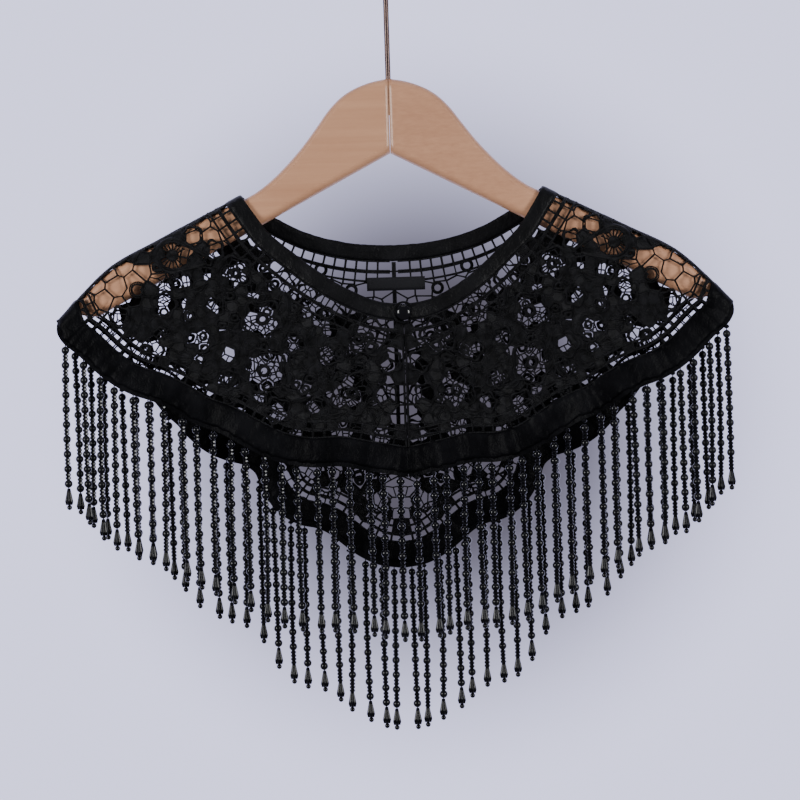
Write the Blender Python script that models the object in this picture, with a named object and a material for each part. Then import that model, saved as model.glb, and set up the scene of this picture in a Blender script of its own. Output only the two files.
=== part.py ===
"""A black guipure lace cloud collar with a beaded fringe, laid over a wooden hanger with a wire hook.

The origin is the inside top of the hook, where a rail holds it. The front faces -Y and +Z is up.
Sizes below are in millimetres. Depth is measured down from the top of the wood.
"""
import math

import bmesh
import bpy
import numpy as np
from mathutils import Vector
from mathutils.geometry import delaunay_2d_cdt

# Main sizes
WOOD_TOP_Z = -100.0
WIRE_RADIUS = 1.6
HOOK_RADIUS = 19.5
HOOK_BEND_RADIUS = 12.0
STEM_IN_WOOD = 22.0
ARM_HALF_THICKNESS = 5.5
HANGER_HALF_LENGTH = 192.0
FOLD_RADIUS = 7.6
SEAM_GAP = 0.3
RIBBON_GAP = 0.6
LACE_THICKNESS = 1.6
RIBBON_THICKNESS = 2.2
NECK_RIBBON_WIDTH = 9.5
HEM_RIBBON_WIDTH = {"front": 14.5, "back": 12.5}
FLARE = {"front": 0.075, "back": 0.045}
CENTRE_SHIFT = 5.0
STRAND_LENGTH = 100.0
STRAND_WIDTH = 2.2
STRIP_HEIGHT = 2.4
STRIP_GAP = 1.0
STRIP_THICKNESS = 1.4
STRAND_PITCH = {"front": 9.6, "back": 9.02}
STRANDS_A_SIDE = {"front": 21, "back": 22}
GAPS_A_SIDE = {"front": 52, "back": 56}
BRIDE_WIDTH = 1.3
LEAST_GAP = 3.3

# Profiles: (distance from the centre, depth)
SHOULDER_RIDGE = (
    (0, 30), (30, 37.5), (60, 50.5), (90.4, 67.7), (117.5, 81.2), (141.5, 93.2),
    (171, 108.9), (187, 123.5), (202, 139.8),
)
FRONT_NECK = ((90.4, 67.7), (83.5, 78.5), (74, 92), (62, 103), (50, 113.5), (30, 127), (14, 134), (0, 136))
BACK_NECK = ((90.4, 67.7), (83, 73.5), (68.5, 82.2), (53.4, 90), (35.6, 95.7), (17, 98.8), (0, 99.6))
SIDE_HEM = ((202, 139.8), (198, 149.5), (188, 158.6), (174, 172), (164, 179), (156, 183), (147, 186))
FRONT_HEM = SIDE_HEM + (
    (134, 192), (120, 201), (105, 207), (93, 214), (75, 224), (56, 228.5), (39, 228.5), (22, 232), (0, 236),
)
BACK_HEM = SIDE_HEM + (
    (138.6, 195.6), (131.6, 202), (124.4, 210.5), (114, 219), (104, 223.7), (92, 227.5), (86, 232),
    (81, 244), (73.8, 255), (61, 263.8), (50, 266.6), (43, 270), (36, 275.5), (27, 282.7), (14, 289.5), (0, 292),
)
WOOD_TOP = (
    (0, 0), (10.8, 2), (28, 10), (36, 17.7), (43, 27), (51.4, 38), (60, 47.7), (70.6, 58), (82, 66.5),
    (92, 71.5),
)


def smooth_curve(points, step):
    """Points along a smooth line through the given ones, the given step apart."""
    points = np.array(points, float)
    lengths = np.concatenate([[0], np.cumsum(np.linalg.norm(np.diff(points, axis=0), axis=1))])
    slopes = np.gradient(points, lengths, axis=0)
    places = np.linspace(0, lengths[-1], max(2, int(round(lengths[-1] / step)) + 1))
    part = np.clip(np.searchsorted(lengths, places, side="right") - 1, 0, len(points) - 2)
    span = (lengths[part + 1] - lengths[part])[:, None]
    t = (places - lengths[part])[:, None] / span
    return (
        (2 * t**3 - 3 * t**2 + 1) * points[part]
        + (t**3 - 2 * t**2 + t) * span * slopes[part]
        + (3 * t**2 - 2 * t**3) * points[part + 1]
        + (t**3 - t**2) * span * slopes[part + 1]
    )


RIDGE_LINE = smooth_curve(SHOULDER_RIDGE, 2.0)


def ridge_depth(across):
    """Depth of the fold line over the hanger's arm."""
    return np.interp(np.abs(across), RIDGE_LINE[:, 0], RIDGE_LINE[:, 1])


def down_cloth(across, depth):
    """Length down the cloth, from a depth seen from the front: it goes round the fold, then straight down."""
    below = np.maximum(depth - ridge_depth(across), 0)
    turn = np.arccos(np.clip(1 - below / FOLD_RADIUS, -1, 1))
    straight = below + FOLD_RADIUS * (math.pi / 2 - 1)
    return ridge_depth(across) + np.where(below < FOLD_RADIUS, FOLD_RADIUS * turn, straight)


def on_cloth(side, across, down, outward=0.0):
    """The point of the front or back cloth at a place given across and down the cloth, in millimetres."""
    across, down = np.broadcast_arrays(np.asarray(across, float), np.asarray(down, float))
    length = np.maximum(down - ridge_depth(across), 0)
    turn = np.minimum(length / FOLD_RADIUS, math.pi / 2)
    below = np.maximum(length - FOLD_RADIUS * math.pi / 2, 0)
    ripple = 1.5 * np.minimum(below / 120, 1) ** 2 * np.cos(across * 2 * math.pi / 47)
    away = (FOLD_RADIUS + outward) * np.sin(turn) + FLARE[side] * below + ripple
    away = np.maximum(away, SEAM_GAP / 2)
    drop = ridge_depth(across) + FOLD_RADIUS - (FOLD_RADIUS + outward) * np.cos(turn) + below
    shift = CENTRE_SHIFT * (1 - np.minimum(np.abs(across) / 100, 1) ** 2) ** 2 if side == "front" else 0
    facing = -1 if side == "front" else 1
    return np.stack([across + shift, facing * away, WOOD_TOP_Z - drop], axis=-1)


def material_for(name, colour, roughness, metallic=0.0):
    material = bpy.data.materials.new(name)
    material.use_nodes = True
    surface = material.node_tree.nodes["Principled BSDF"]
    surface.inputs["Base Color"].default_value = (*colour, 1)
    surface.inputs["Roughness"].default_value = roughness
    surface.inputs["Metallic"].default_value = metallic
    return material


LOOKS = {
    "lace": ((0.012, 0.012, 0.014), 0.75, 0.0),
    "ribbon": ((0.01, 0.01, 0.012), 0.4, 0.0),
    "beads": ((0.008, 0.008, 0.01), 0.12, 0.0),
    "wood": ((0.5, 0.3, 0.2), 0.5, 0.0),
    "wire": ((0.05, 0.035, 0.03), 0.35, 0.9),
}


def add_node(name, points, faces, look):
    """One closed body from points in millimetres, with its faces turned outwards."""
    mesh = bpy.data.meshes.new(name)
    mesh.from_pydata([tuple(point) for point in np.asarray(points) / 1000], [], faces)
    shape = bmesh.new()
    shape.from_mesh(mesh)
    bmesh.ops.recalc_face_normals(shape, faces=shape.faces)
    shape.to_mesh(mesh)
    shape.free()
    mesh.materials.append(material_for(name, *LOOKS[look]))
    node = bpy.data.objects.new(name, mesh)
    bpy.context.scene.collection.objects.link(node)
    return node


def boundary_edges(triangles):
    """The directed edges that only one triangle has."""
    edges = {}
    for triangle in triangles:
        for start, end in zip(triangle, triangle[1:] + triangle[:1]):
            edges[(start, end)] = True
    return [edge for edge in edges if (edge[1], edge[0]) not in edges]


def slab(outer, inner, triangles):
    """Points and faces of a wall between two layers that share one set of triangles."""
    count = len(outer)
    faces = [tuple(triangle) for triangle in triangles]
    faces += [tuple(count + corner for corner in reversed(triangle)) for triangle in triangles]
    for start, end in boundary_edges([list(triangle) for triangle in triangles]):
        faces.append((end, start, start + count, end + count))
    return np.concatenate([outer, inner]), faces


def add_strip(name, side, edges, thickness, look, rows=2):
    """A ribbon along two edges, which are lists of (across, down) places of one length."""
    first, second = edges
    share = np.linspace(0, 1, rows)[None, :, None]
    grid = (first[:, None] * (1 - share) + second[:, None] * share).reshape(-1, 2)
    triangles = []
    for station in range(len(first) - 1):
        for row in range(rows - 1):
            corner = station * rows + row
            triangles.append([corner, corner + 1, corner + rows + 1])
            triangles.append([corner, corner + rows + 1, corner + rows])
    outer = on_cloth(side, grid[:, 0], grid[:, 1], thickness / 2)
    inner = on_cloth(side, grid[:, 0], grid[:, 1], -thickness / 2)
    points, faces = slab(outer, inner, triangles)
    return add_node(name, points, faces, look)


def spaced_on_cloth(side, line, step):
    """A finely drawn line of (across, down) places, thinned to steps of about one length on the cloth."""
    solid = on_cloth(side, line[:, 0], line[:, 1])
    lengths = np.concatenate([[0], np.cumsum(np.linalg.norm(np.diff(solid, axis=0), axis=1))])
    places = np.linspace(0, lengths[-1], int(round(lengths[-1] / step)) + 1)
    return np.stack([np.interp(places, lengths, line[:, axis]) for axis in (0, 1)], axis=1)


def edge_line(profile, side, step):
    """One half of a neck or hem edge in (across, down) places, from the ridge to the centre."""
    line = smooth_curve(profile, 0.4)
    line = np.stack([line[:, 0], down_cloth(line[:, 0], line[:, 1])], axis=1)
    line[0] = (profile[0][0], ridge_depth(profile[0][0]))
    line[-1, 0] = 0
    return spaced_on_cloth(side, line, step)


def beside(line, width, towards_hem):
    """A line moved sideways by a width. Its ends stay on the ridge and on the centre line."""
    spread = 5
    before = np.repeat(line[:1], spread, 0)
    after = mirrored(line[-2 : -2 - spread : -1])
    padded = np.concatenate([before, line, after])
    kernel = np.hanning(2 * spread + 3)[1:-1]
    kernel /= kernel.sum()
    soft = np.stack([np.convolve(padded[:, axis], kernel, "valid") for axis in (0, 1)], axis=1)
    along = np.gradient(soft, axis=0)
    along /= np.linalg.norm(along, axis=1)[:, None]
    normal = np.stack([along[:, 1], -along[:, 0]], axis=1) * (1 if towards_hem else -1)
    moved = line + normal * width
    moved[-1] = (0, line[-1, 1] + (width if towards_hem else -width))
    moved[:, 1] = np.maximum(moved[:, 1], ridge_depth(moved[:, 0]))
    fade = np.clip(1 - np.arange(len(line)) / 4, 0, 1)[:, None] ** 1.5
    return moved + fade * (ridge_end(line[0], moved[0]) - moved[0])


def ridge_end(start, moved):
    """The place on the ridge line that is as far from the start as the moved place is."""
    span = np.linalg.norm(moved - start)
    way = 1 if moved[0] > start[0] else -1
    tries = start[0] + way * np.linspace(0, span, 200)
    gap = np.hypot(tries - start[0], ridge_depth(tries) - start[1])
    across = tries[np.argmin(np.abs(gap - span))]
    return np.array([across, ridge_depth(across)])


def mirrored(line):
    return line * [[-1, 1]]


def whole(half):
    """A half line from the ridge to the centre, carried on to the other ridge."""
    return np.concatenate([half, mirrored(half[-2::-1])])


# The lace is a net of cells round seed points, with straight rows of cells along its edges


def nearest_on(line, places):
    """The nearest places on a line, and how far they are."""
    start = line[:-1][None]
    span = (line[1:] - line[:-1])[None]
    offset = places[:, None] - start
    share = np.clip((offset * span).sum(-1) / np.maximum((span**2).sum(-1), 1e-12), 0, 1)
    found = start + share[..., None] * span
    away = np.linalg.norm(found - places[:, None], axis=-1)
    pick = away.argmin(axis=1)
    rows = np.arange(len(places))
    return found[rows, pick], away[rows, pick]


def inside(outline, places):
    """Whether each place lies inside a closed outline."""
    start = outline[None]
    end = np.roll(outline, -1, axis=0)[None]
    across, down = places[:, None, 0], places[:, None, 1]
    crosses = (start[..., 1] > down) != (end[..., 1] > down)
    rise = np.where(end[..., 1] == start[..., 1], 1e-9, end[..., 1] - start[..., 1])
    at = start[..., 0] + (down - start[..., 1]) / rise * (end[..., 0] - start[..., 0])
    return (crosses & (across < at)).sum(axis=1) % 2 == 1


def cells_round(seeds, sides):
    """The cell round each seed: the places that are nearer to it than to any other seed or mirrored seed."""
    ghosts = []
    for side_line in sides:
        found, away = nearest_on(side_line, seeds)
        ghosts.append((2 * found - seeds)[(away < 16) & (away > 0.05)])
    everything = np.concatenate([seeds, *ghosts])
    result = delaunay_2d_cdt([Vector(place) for place in everything], [], [], 0, 1e-5)
    places, triangles, source = result[0], result[2], result[3]
    around = {}
    for triangle in triangles:
        a, b, c = (places[corner] for corner in triangle)
        twice = 2 * ((b - a).cross(c - a))
        if abs(twice) < 1e-6:
            continue
        first, second = (b - a).length_squared, (c - a).length_squared
        centre = a + Vector(
            (
                ((c.y - a.y) * first - (b.y - a.y) * second) / twice,
                ((b.x - a.x) * second - (c.x - a.x) * first) / twice,
            )
        )
        for corner in triangle:
            for seed in source[corner]:
                around.setdefault(seed, []).append(centre)
    cells = []
    for index, seed in enumerate(seeds):
        corners = np.array([tuple(corner) for corner in around.get(index, [])]).reshape(-1, 2)
        order = np.argsort(np.arctan2(corners[:, 1] - seed[1], corners[:, 0] - seed[0]))
        cells.append(corners[order])
    return cells


def area_and_middle(cell):
    following = np.roll(cell, -1, axis=0)
    cross = cell[:, 0] * following[:, 1] - following[:, 0] * cell[:, 1]
    area = cross.sum() / 2
    if abs(area) < 1e-6:
        return 0.0, cell.mean(axis=0)
    return area, ((cell + following) * cross[:, None]).sum(axis=0) / (6 * area)


def inset(cell, distance):
    """A convex cell made smaller by moving each of its sides inwards."""
    shape = list(cell)
    for start, end in zip(cell, np.roll(cell, -1, axis=0)):
        along = end - start
        length = np.linalg.norm(along)
        if length < 1e-6:
            continue
        inward = np.array([-along[1], along[0]]) / length
        heights = [float(np.dot(point - start, inward)) - distance for point in shape]
        cut = []
        for index, point in enumerate(shape):
            following = (index + 1) % len(shape)
            if heights[index] >= 0:
                cut.append(point)
            if (heights[index] >= 0) != (heights[following] >= 0):
                share = heights[index] / (heights[index] - heights[following])
                cut.append(point + share * (shape[following] - point))
        shape = cut
        if len(shape) < 3:
            return np.zeros((0, 2))
    return np.array(shape)


def without_short_sides(cell, least):
    kept = [cell[0]]
    for point in cell[1:]:
        if np.linalg.norm(point - kept[-1]) > least:
            kept.append(point)
    if len(kept) > 3 and np.linalg.norm(kept[0] - kept[-1]) <= least:
        kept.pop()
    return np.array(kept)


def net_seeds(side, outline, fixed, chance):
    """Scattered seed points inside an outline, after the fixed ones."""
    low, high = outline.min(axis=0), outline.max(axis=0)
    tries = low + chance.random((9000, 2)) * (high - low)
    tries = tries[inside(outline, tries)]
    _, away = nearest_on(np.concatenate([outline, outline[:1]]), tries)
    wanted = net_spacing(side, tries[:, 0], tries[:, 1])
    kept = [tuple(place) for place in fixed]
    for place, need in zip(tries[away > 0.42 * wanted], wanted[away > 0.42 * wanted]):
        if np.min(np.hypot(*(np.array(kept) - place).T)) > need:
            kept.append(tuple(place))
    return np.array(kept)


def lace_cells(side, sides, rows, number):
    """Every cell of half a panel. Its sides run from the neck round by the ridge and the hem to the centre."""
    outline = np.concatenate([side_line[:-1] for side_line in sides])
    fixed = np.concatenate(rows)
    seeds = net_seeds(side, outline, fixed, np.random.default_rng(number))
    for _ in range(3):
        cells = cells_round(seeds, sides)
        middles = np.array([area_and_middle(cell)[1] for cell in cells])
        moved = inside(outline, middles)
        moved[: len(fixed)] = False
        seeds[moved] = middles[moved]
    return outline, cells_round(seeds, sides)


def open_gaps(outline, cells, count, first):
    """The gaps to cut through: those of the row by the neck, then the largest of the rest."""
    closed_line = np.concatenate([outline, outline[:1]])
    found = []
    for index, cell in enumerate(cells):
        if len(cell) < 3:
            continue
        shape = inset(cell, BRIDE_WIDTH / 2)
        if len(shape) < 3:
            continue
        shape = without_short_sides(shape, 1.5)
        if len(shape) < 3 or not inside(outline, shape).all():
            continue
        if nearest_on(closed_line, shape)[1].min() < 0.5:
            continue
        area, middle = area_and_middle(shape)
        width = 2 * nearest_on(np.concatenate([shape, shape[:1]]), middle[None])[1][0]
        if width >= LEAST_GAP:
            found.append((abs(area) + (1000 if index < first else 0), shape))
    found.sort(key=lambda entry: -entry[0])
    return [shape for _, shape in found[:count]]


def with_fold_points(gap):
    """A gap's corners, with more of them where the cloth turns over the arm."""
    points = []
    for start, end in zip(gap, np.roll(gap, -1, axis=0)):
        points.append(start)
        length = np.linalg.norm(end - start)
        near = min(start[1] - ridge_depth(start[0]), end[1] - ridge_depth(end[0]))
        pieces = int(np.ceil(length / 3.4)) if near < 11 else 1
        points += [start + (end - start) * share for share in np.linspace(0, 1, pieces + 1)[1:-1]]
    return np.array(points)


def add_lace(name, side, outline, gaps):
    """A pierced wall of lace in one body."""
    closed_line = np.concatenate([outline, outline[:1]])
    inner_rows = []
    for below in (3.0, 6.5, 10.5):
        across = np.arange(96, 198, 7.5) * np.sign(outline[:, 0].sum() or 1)
        inner_rows.append(np.stack([across, ridge_depth(across) + below], axis=1))
        if outline[:, 0].min() < -1 and outline[:, 0].max() > 1:
            inner_rows.append(mirrored(inner_rows[-1]))
    grid = np.stack(np.meshgrid(np.arange(-195, 196, 13.0), np.arange(110, 290, 14.0)), axis=-1)
    grid = grid.reshape(-1, 2)
    grid = grid[grid[:, 1] - ridge_depth(grid[:, 0]) > 14]
    loose = np.concatenate([*inner_rows, grid])
    loose = loose[inside(outline, loose)]
    loose = loose[nearest_on(closed_line, loose)[1] > 1.5]
    gaps = [with_fold_points(gap) for gap in gaps]
    for gap in gaps:
        clear = nearest_on(np.concatenate([gap, gap[:1]]), loose)[1] > 1.0
        loose = loose[clear & ~inside(gap, loose)]
    places = list(outline)
    loops = [list(range(len(outline)))]
    for gap in gaps:
        loops.append(list(range(len(places), len(places) + len(gap))))
        places += list(gap)
    places += list(loose)
    result = delaunay_2d_cdt([Vector(place) for place in places], [], loops, 1, 1e-5)
    triangles = [list(face) for face, loop in zip(result[2], result[5]) if list(loop) == [0]]
    used = sorted({corner for triangle in triangles for corner in triangle})
    number = {corner: index for index, corner in enumerate(used)}
    triangles = [[number[corner] for corner in triangle] for triangle in triangles]
    flat = np.array([tuple(result[0][corner]) for corner in used])
    outer = on_cloth(side, flat[:, 0], flat[:, 1], LACE_THICKNESS / 2)
    inner = on_cloth(side, flat[:, 0], flat[:, 1], -LACE_THICKNESS / 2)
    points, faces = slab(outer, inner, triangles)
    return add_node(name, points, faces, "lace")


# Open places in the net: (distance from the centre, depth, reach)
OPEN_PLACES = {
    "front": (
        (160, 118, 20), (178, 130, 14), (112, 86, 14), (4, 168, 9), (5, 186, 9), (4, 202, 8), (158, 156, 13),
        (173, 152, 9), (18, 157, 8), (97, 161, 8), (72, 199, 8), (40, 171, 7), (118, 140, 8), (128, 170, 7),
    ),
    "back": (
        (10, 125, 13), (36, 123, 13), (60, 113, 12), (150, 116, 20), (176, 130, 14), (120, 94, 13), (12, 262, 15),
        (38, 248, 13), (8, 240, 12), (58, 240, 11), (14, 278, 9), (20, 190, 11), (70, 176, 11), (105, 146, 11),
        (148, 158, 12), (58, 205, 9),
    ),
}


# The dense motif on each shoulder, between two open places: (distance from the centre, depth, reach)
SHOULDER_MOTIF = (134, 106, 17)


def net_spacing(side, across, down):
    """How far apart the net's seed points are: wide at its open places, close in the motifs between them."""
    wide = np.zeros(np.shape(across))
    for place, depth, reach in OPEN_PLACES[side]:
        away = np.hypot(across - place, down - down_cloth(place, depth))
        wide = np.maximum(wide, np.exp(-((away / reach) ** 4)))
    place, depth, reach = SHOULDER_MOTIF
    away = np.hypot(across - place, down - down_cloth(place, depth))
    wide = wide * (1 - np.exp(-((away / reach) ** 4)))
    return 4.7 + (4.9 if side == "front" else 4.4) * wide


def make_cloth(side):
    """The lace, neck ribbon and hem ribbon of the front or back, and half of its hem edge."""
    neck = edge_line(FRONT_NECK if side == "front" else BACK_NECK, side, 4.2)
    hem = edge_line(FRONT_HEM if side == "front" else BACK_HEM, side, 4.6)
    width = HEM_RIBBON_WIDTH[side]
    neck_seam = beside(neck, NECK_RIBBON_WIDTH, True)
    hem_seam = beside(hem, width, False)
    lace_top = beside(neck, NECK_RIBBON_WIDTH + RIBBON_GAP, True)
    lace_bottom = beside(hem, width + RIBBON_GAP, False)
    ridge = np.linspace(lace_top[0, 0], lace_bottom[0, 0], 22)
    ridge = np.stack([ridge, ridge_depth(ridge)], axis=1)
    middle = SEAM_GAP / 2 if side == "front" else 0.0
    lace_top[-1, 0] = lace_bottom[-1, 0] = middle
    centre = np.stack([np.full(9, middle), np.linspace(lace_bottom[-1, 1], lace_top[-1, 1], 9)], axis=1)
    sides = [lace_top[::-1], ridge, lace_bottom, centre]
    ladder = spaced_on_cloth(side, neck, 6.0)
    rows = [beside(ladder, NECK_RIBBON_WIDTH + offset, True)[1:-1] for offset in (3.1, 9.4)]
    slots = spaced_on_cloth(side, hem, 6.4)
    rows += [beside(slots, width + offset, False)[1:-1] for offset in (2.4, 7.0)]
    outline, cells = lace_cells(side, sides, rows, 7 if side == "front" else 11)
    gaps = open_gaps(outline, cells, GAPS_A_SIDE[side], len(rows[0]))
    if side == "back":
        half = outline[: -len(centre) + 1]
        full = np.concatenate([half, mirrored(half[::-1])])
        full = full[np.concatenate([[True], np.linalg.norm(np.diff(full, axis=0), axis=1) > 1e-6])]
        add_lace("lace_back", side, full[:-1], gaps + [mirrored(gap[::-1]) for gap in gaps])
        add_strip("neck_binding_back", side, (whole(neck), whole(neck_seam)), RIBBON_THICKNESS, "ribbon")
        add_strip("hem_band_back", side, (whole(hem), whole(hem_seam)), RIBBON_THICKNESS, "ribbon")
        return hem
    for line in (neck, neck_seam, hem, hem_seam):
        line[-1, 0] = middle
    add_lace("lace_front_right", side, outline, gaps)
    add_lace("lace_front_left", side, mirrored(outline[::-1]), [mirrored(gap[::-1]) for gap in gaps])
    for end, turn in (("right", 1), ("left", -1)):
        edges = [line * [[turn, 1]] for line in (neck, neck_seam)]
        add_strip("neck_binding_front_" + end, side, edges, RIBBON_THICKNESS, "ribbon")
        edges = [line * [[turn, 1]] for line in (hem, hem_seam)]
        add_strip("hem_band_front_" + end, side, edges, RIBBON_THICKNESS, "ribbon")
    return hem


def strand_places(side):
    """Where each strand hangs across one half, and how far its tip drifts."""
    number = np.arange(STRANDS_A_SIDE[side])
    phase = 0.0 if side == "front" else 1.7
    places = STRAND_PITCH[side] * (number + 0.5) + 0.9 * np.sin(number * 2.3 + phase)
    return places, 1.1 * np.sin(number * 1.9 + phase)


def add_fringe(name, side, hem, ends):
    """Hanging strands whose tops run into a narrow strip along the hem."""
    fine = spaced_on_cloth(side, hem, 0.5)
    top = beside(fine, STRIP_GAP, True)
    bottom = beside(fine, STRIP_GAP + STRIP_HEIGHT, True)
    places, drifts = strand_places(side)
    order = np.argsort(bottom[:, 0])
    stations = [(bottom[order[0], 0] + 0.2, 0.0, False)]
    for place, drift in zip(places, drifts):
        if place > bottom[:, 0].max() - 4:
            continue
        middle = (stations[-1][0] + place - STRAND_WIDTH / 2) / 2
        if len(stations) > 1:
            stations.append((middle, 0.0, False))
        stations.append((place - STRAND_WIDTH / 2, drift, True))
        stations.append((place + STRAND_WIDTH / 2, drift, False))
    stations.append(((stations[-1][0] + bottom[:, 0].max()) / 2, 0.0, False))
    stations.append((bottom[:, 0].max() - 0.6, 0.0, False))
    at = np.array([station[0] for station in stations])
    steep = np.interp(at, bottom[order, 0], np.arange(len(order)))
    picked = {}
    for key, line in (("top", top), ("bottom", bottom)):
        picked[key] = np.stack([np.interp(steep, np.arange(len(order)), line[order, axis]) for axis in (0, 1)], axis=1)
    starts = [station[2] for station in stations]
    sway = [station[1] for station in stations]
    if ends == "both":
        keep = 1
        picked = {key: np.concatenate([mirrored(line[:0:-1]), line[keep:]]) for key, line in picked.items()}
        left = [starts[index - 1] for index in range(len(starts) - 1, 0, -1)]
        starts = left[:-1] + [False] + starts[1:]
        sway = [-value for value in sway[:0:-1]] + sway[1:]
    points = []
    for key, outward in (("top", 1), ("bottom", 1), ("bottom", -1), ("top", -1)):
        line = picked[key]
        points.append(on_cloth(side, line[:, 0], line[:, 1], outward * STRIP_THICKNESS / 2))
    count = len(points[0])
    points = list(np.concatenate(points))
    faces = []
    for station in range(count - 1):
        corners = [row * count + station for row in range(4)]
        for row in (0, 2, 3):
            a, b = corners[row], corners[(row + 1) % 4]
            faces.append((a, b, b + 1, a + 1))
        roots = (corners[1], corners[1] + 1, corners[2] + 1, corners[2])
        if starts[station]:
            hang_strand(points, faces, roots, sway[station])
        else:
            faces.append(roots)
    faces.append(tuple(row * count for row in range(4)))
    faces.append(tuple(row * count + count - 1 for row in range(4)))
    if ends == "left":
        points = [point * [-1, 1, 1] + [2 * shift_at(point, side), 0, 0] for point in points]
    return add_node(name, points, faces, "beads")


def shift_at(point, side):
    """How far the front cloth is moved sideways at a point that has been moved already."""
    if side == "back":
        return 0.0
    guess = point[0]
    for _ in range(6):
        near = min(abs(guess) / 100, 1)
        guess = point[0] - CENTRE_SHIFT * (1 - near**2) ** 2
    return point[0] - guess


def hang_strand(points, faces, roots, drift):
    """One strand: straight down from its roots, then a swelling and a point where its end bead hangs."""
    root = np.mean([points[corner] for corner in roots], axis=0)
    half = STRAND_WIDTH / 2
    shape = ((STRAND_LENGTH - 16, half * 0.9, 1.0), (STRAND_LENGTH - 6.5, 2.6, 1.0), (STRAND_LENGTH, 0.9, 1.0))
    top = root[2]
    previous = roots
    signs = [tuple(np.sign(points[corner][:2] - root[:2])) for corner in roots]
    for down, reach, sway in shape:
        ring = []
        for sign_x, sign_y in signs:
            ring.append(len(points))
            points.append(root + [drift * sway + reach * sign_x, reach * sign_y, -down])
        for index in range(4):
            following = (index + 1) % 4
            faces.append((previous[index], previous[following], ring[following], ring[index]))
        previous = tuple(ring)
    faces.append(previous)


def add_fringes(hems):
    add_fringe("fringe_back", "back", hems["back"], "both")
    add_fringe("fringe_front_right", "front", hems["front"], "right")
    add_fringe("fringe_front_left", "front", hems["front"], "left")


def tube(path, radius, corners, up=(0.0, 1.0, 0.0)):
    """Points and faces of a round bar along a path."""
    path = np.array(path, float)
    along = np.gradient(path, axis=0)
    along /= np.linalg.norm(along, axis=1)[:, None]
    sideways = np.cross(along, up)
    sideways /= np.linalg.norm(sideways, axis=1)[:, None]
    across = np.cross(sideways, along)
    angles = np.arange(corners) * 2 * math.pi / corners
    points = []
    for centre, first, second in zip(path, sideways, across):
        points += [centre + radius * (math.cos(a) * first + math.sin(a) * second) for a in angles]
    faces = [tuple(range(corners))]
    for ring in range(len(path) - 1):
        for corner in range(corners):
            a = ring * corners + corner
            b = ring * corners + (corner + 1) % corners
            faces.append((a, b, b + corners, a + corners))
    faces.append(tuple((len(path) - 1) * corners + corner for corner in range(corners)))
    return points, faces


def add_hook():
    """The wire: a stem out of the wood, a short bend and a round hook over the rail."""
    centre_z = -(HOOK_RADIUS - WIRE_RADIUS)
    bend_z = centre_z - math.sqrt(HOOK_RADIUS**2 + 2 * HOOK_RADIUS * HOOK_BEND_RADIUS)
    path = [(0, 0, WOOD_TOP_Z - STEM_IN_WOOD), (0, 0, WOOD_TOP_Z), (0, 0, bend_z)]
    meet = math.atan2(bend_z - centre_z, HOOK_BEND_RADIUS)
    for turn in np.linspace(math.pi, math.pi + meet, 5)[1:-1]:
        path.append((HOOK_BEND_RADIUS + HOOK_BEND_RADIUS * math.cos(turn), 0,
                     bend_z + HOOK_BEND_RADIUS * math.sin(turn)))
    for turn in np.linspace(meet, math.radians(205), 19):
        path.append((HOOK_RADIUS * math.cos(turn), 0, centre_z + HOOK_RADIUS * math.sin(turn)))
    points, faces = tube(path, WIRE_RADIUS, 8)
    add_node("hanger_hook", points, faces, "wire")


def add_hanger_half(name, turn):
    """Half of the wooden hanger: a rounded bar whose top follows the fold of the cloth."""
    stations = (0.15, 5, 10.8, 18, 24, 30, 36, 43, 51.4, 60, 70.6, 82, 92, 105, 118, 131, 144, 157, 170, 179,
                185, 189, 191.3, 192)
    points = []
    for across in stations:
        if across <= 92:
            top = np.interp(across, *smooth_curve(WOOD_TOP, 1.0).T)
        else:
            top = ridge_depth(across) + FOLD_RADIUS - ARM_HALF_THICKNESS
        bottom = 45 + 0.52 * min(across, 178)
        half = ARM_HALF_THICKNESS
        if across > 178:
            share = (across - 178) / (HANGER_HALF_LENGTH - 178)
            rest = math.sqrt(max(1 - share**2, 0.0))
            bottom = 133.5 + 4.0 * rest
            top = min(top, bottom - 3)
            half = ARM_HALF_THICKNESS * (0.45 + 0.55 * rest)
        corner = min(half, (bottom - top) / 2 - 0.2)
        for angle in np.radians([0, 35, 65, 90, 115, 145, 180]):
            points.append((turn * across, half * math.cos(angle), WOOD_TOP_Z - top - corner * (1 - math.sin(angle))))
        for angle in np.radians([180, 225, 315, 360]):
            points.append((turn * across, half * math.cos(angle), WOOD_TOP_Z - bottom + corner * (1 + math.sin(angle))))
    ring = 11
    faces = [tuple(range(ring))]
    for station in range(len(stations) - 1):
        for corner in range(ring):
            a = station * ring + corner
            b = station * ring + (corner + 1) % ring
            faces.append((a, b, b + ring, a + ring))
    faces.append(tuple((len(stations) - 1) * ring + corner for corner in range(ring)))
    half_body = add_node(name, points, faces, "wood")
    bore_points, bore_faces = tube(
        [(0, 0, WOOD_TOP_Z - STEM_IN_WOOD - 1), (0, 0, WOOD_TOP_Z + 6)], WIRE_RADIUS + 0.5, 10)
    bore = add_node("bore_" + name, bore_points, bore_faces, "wire")
    cut = half_body.modifiers.new("bore", "BOOLEAN")
    cut.operation = "DIFFERENCE"
    cut.solver = "EXACT"
    cut.object = bore
    graph = bpy.context.evaluated_depsgraph_get()
    finished = bpy.data.meshes.new_from_object(half_body.evaluated_get(graph))
    half_body.modifiers.clear()
    half_body.data = finished
    bpy.data.objects.remove(bore)


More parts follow.
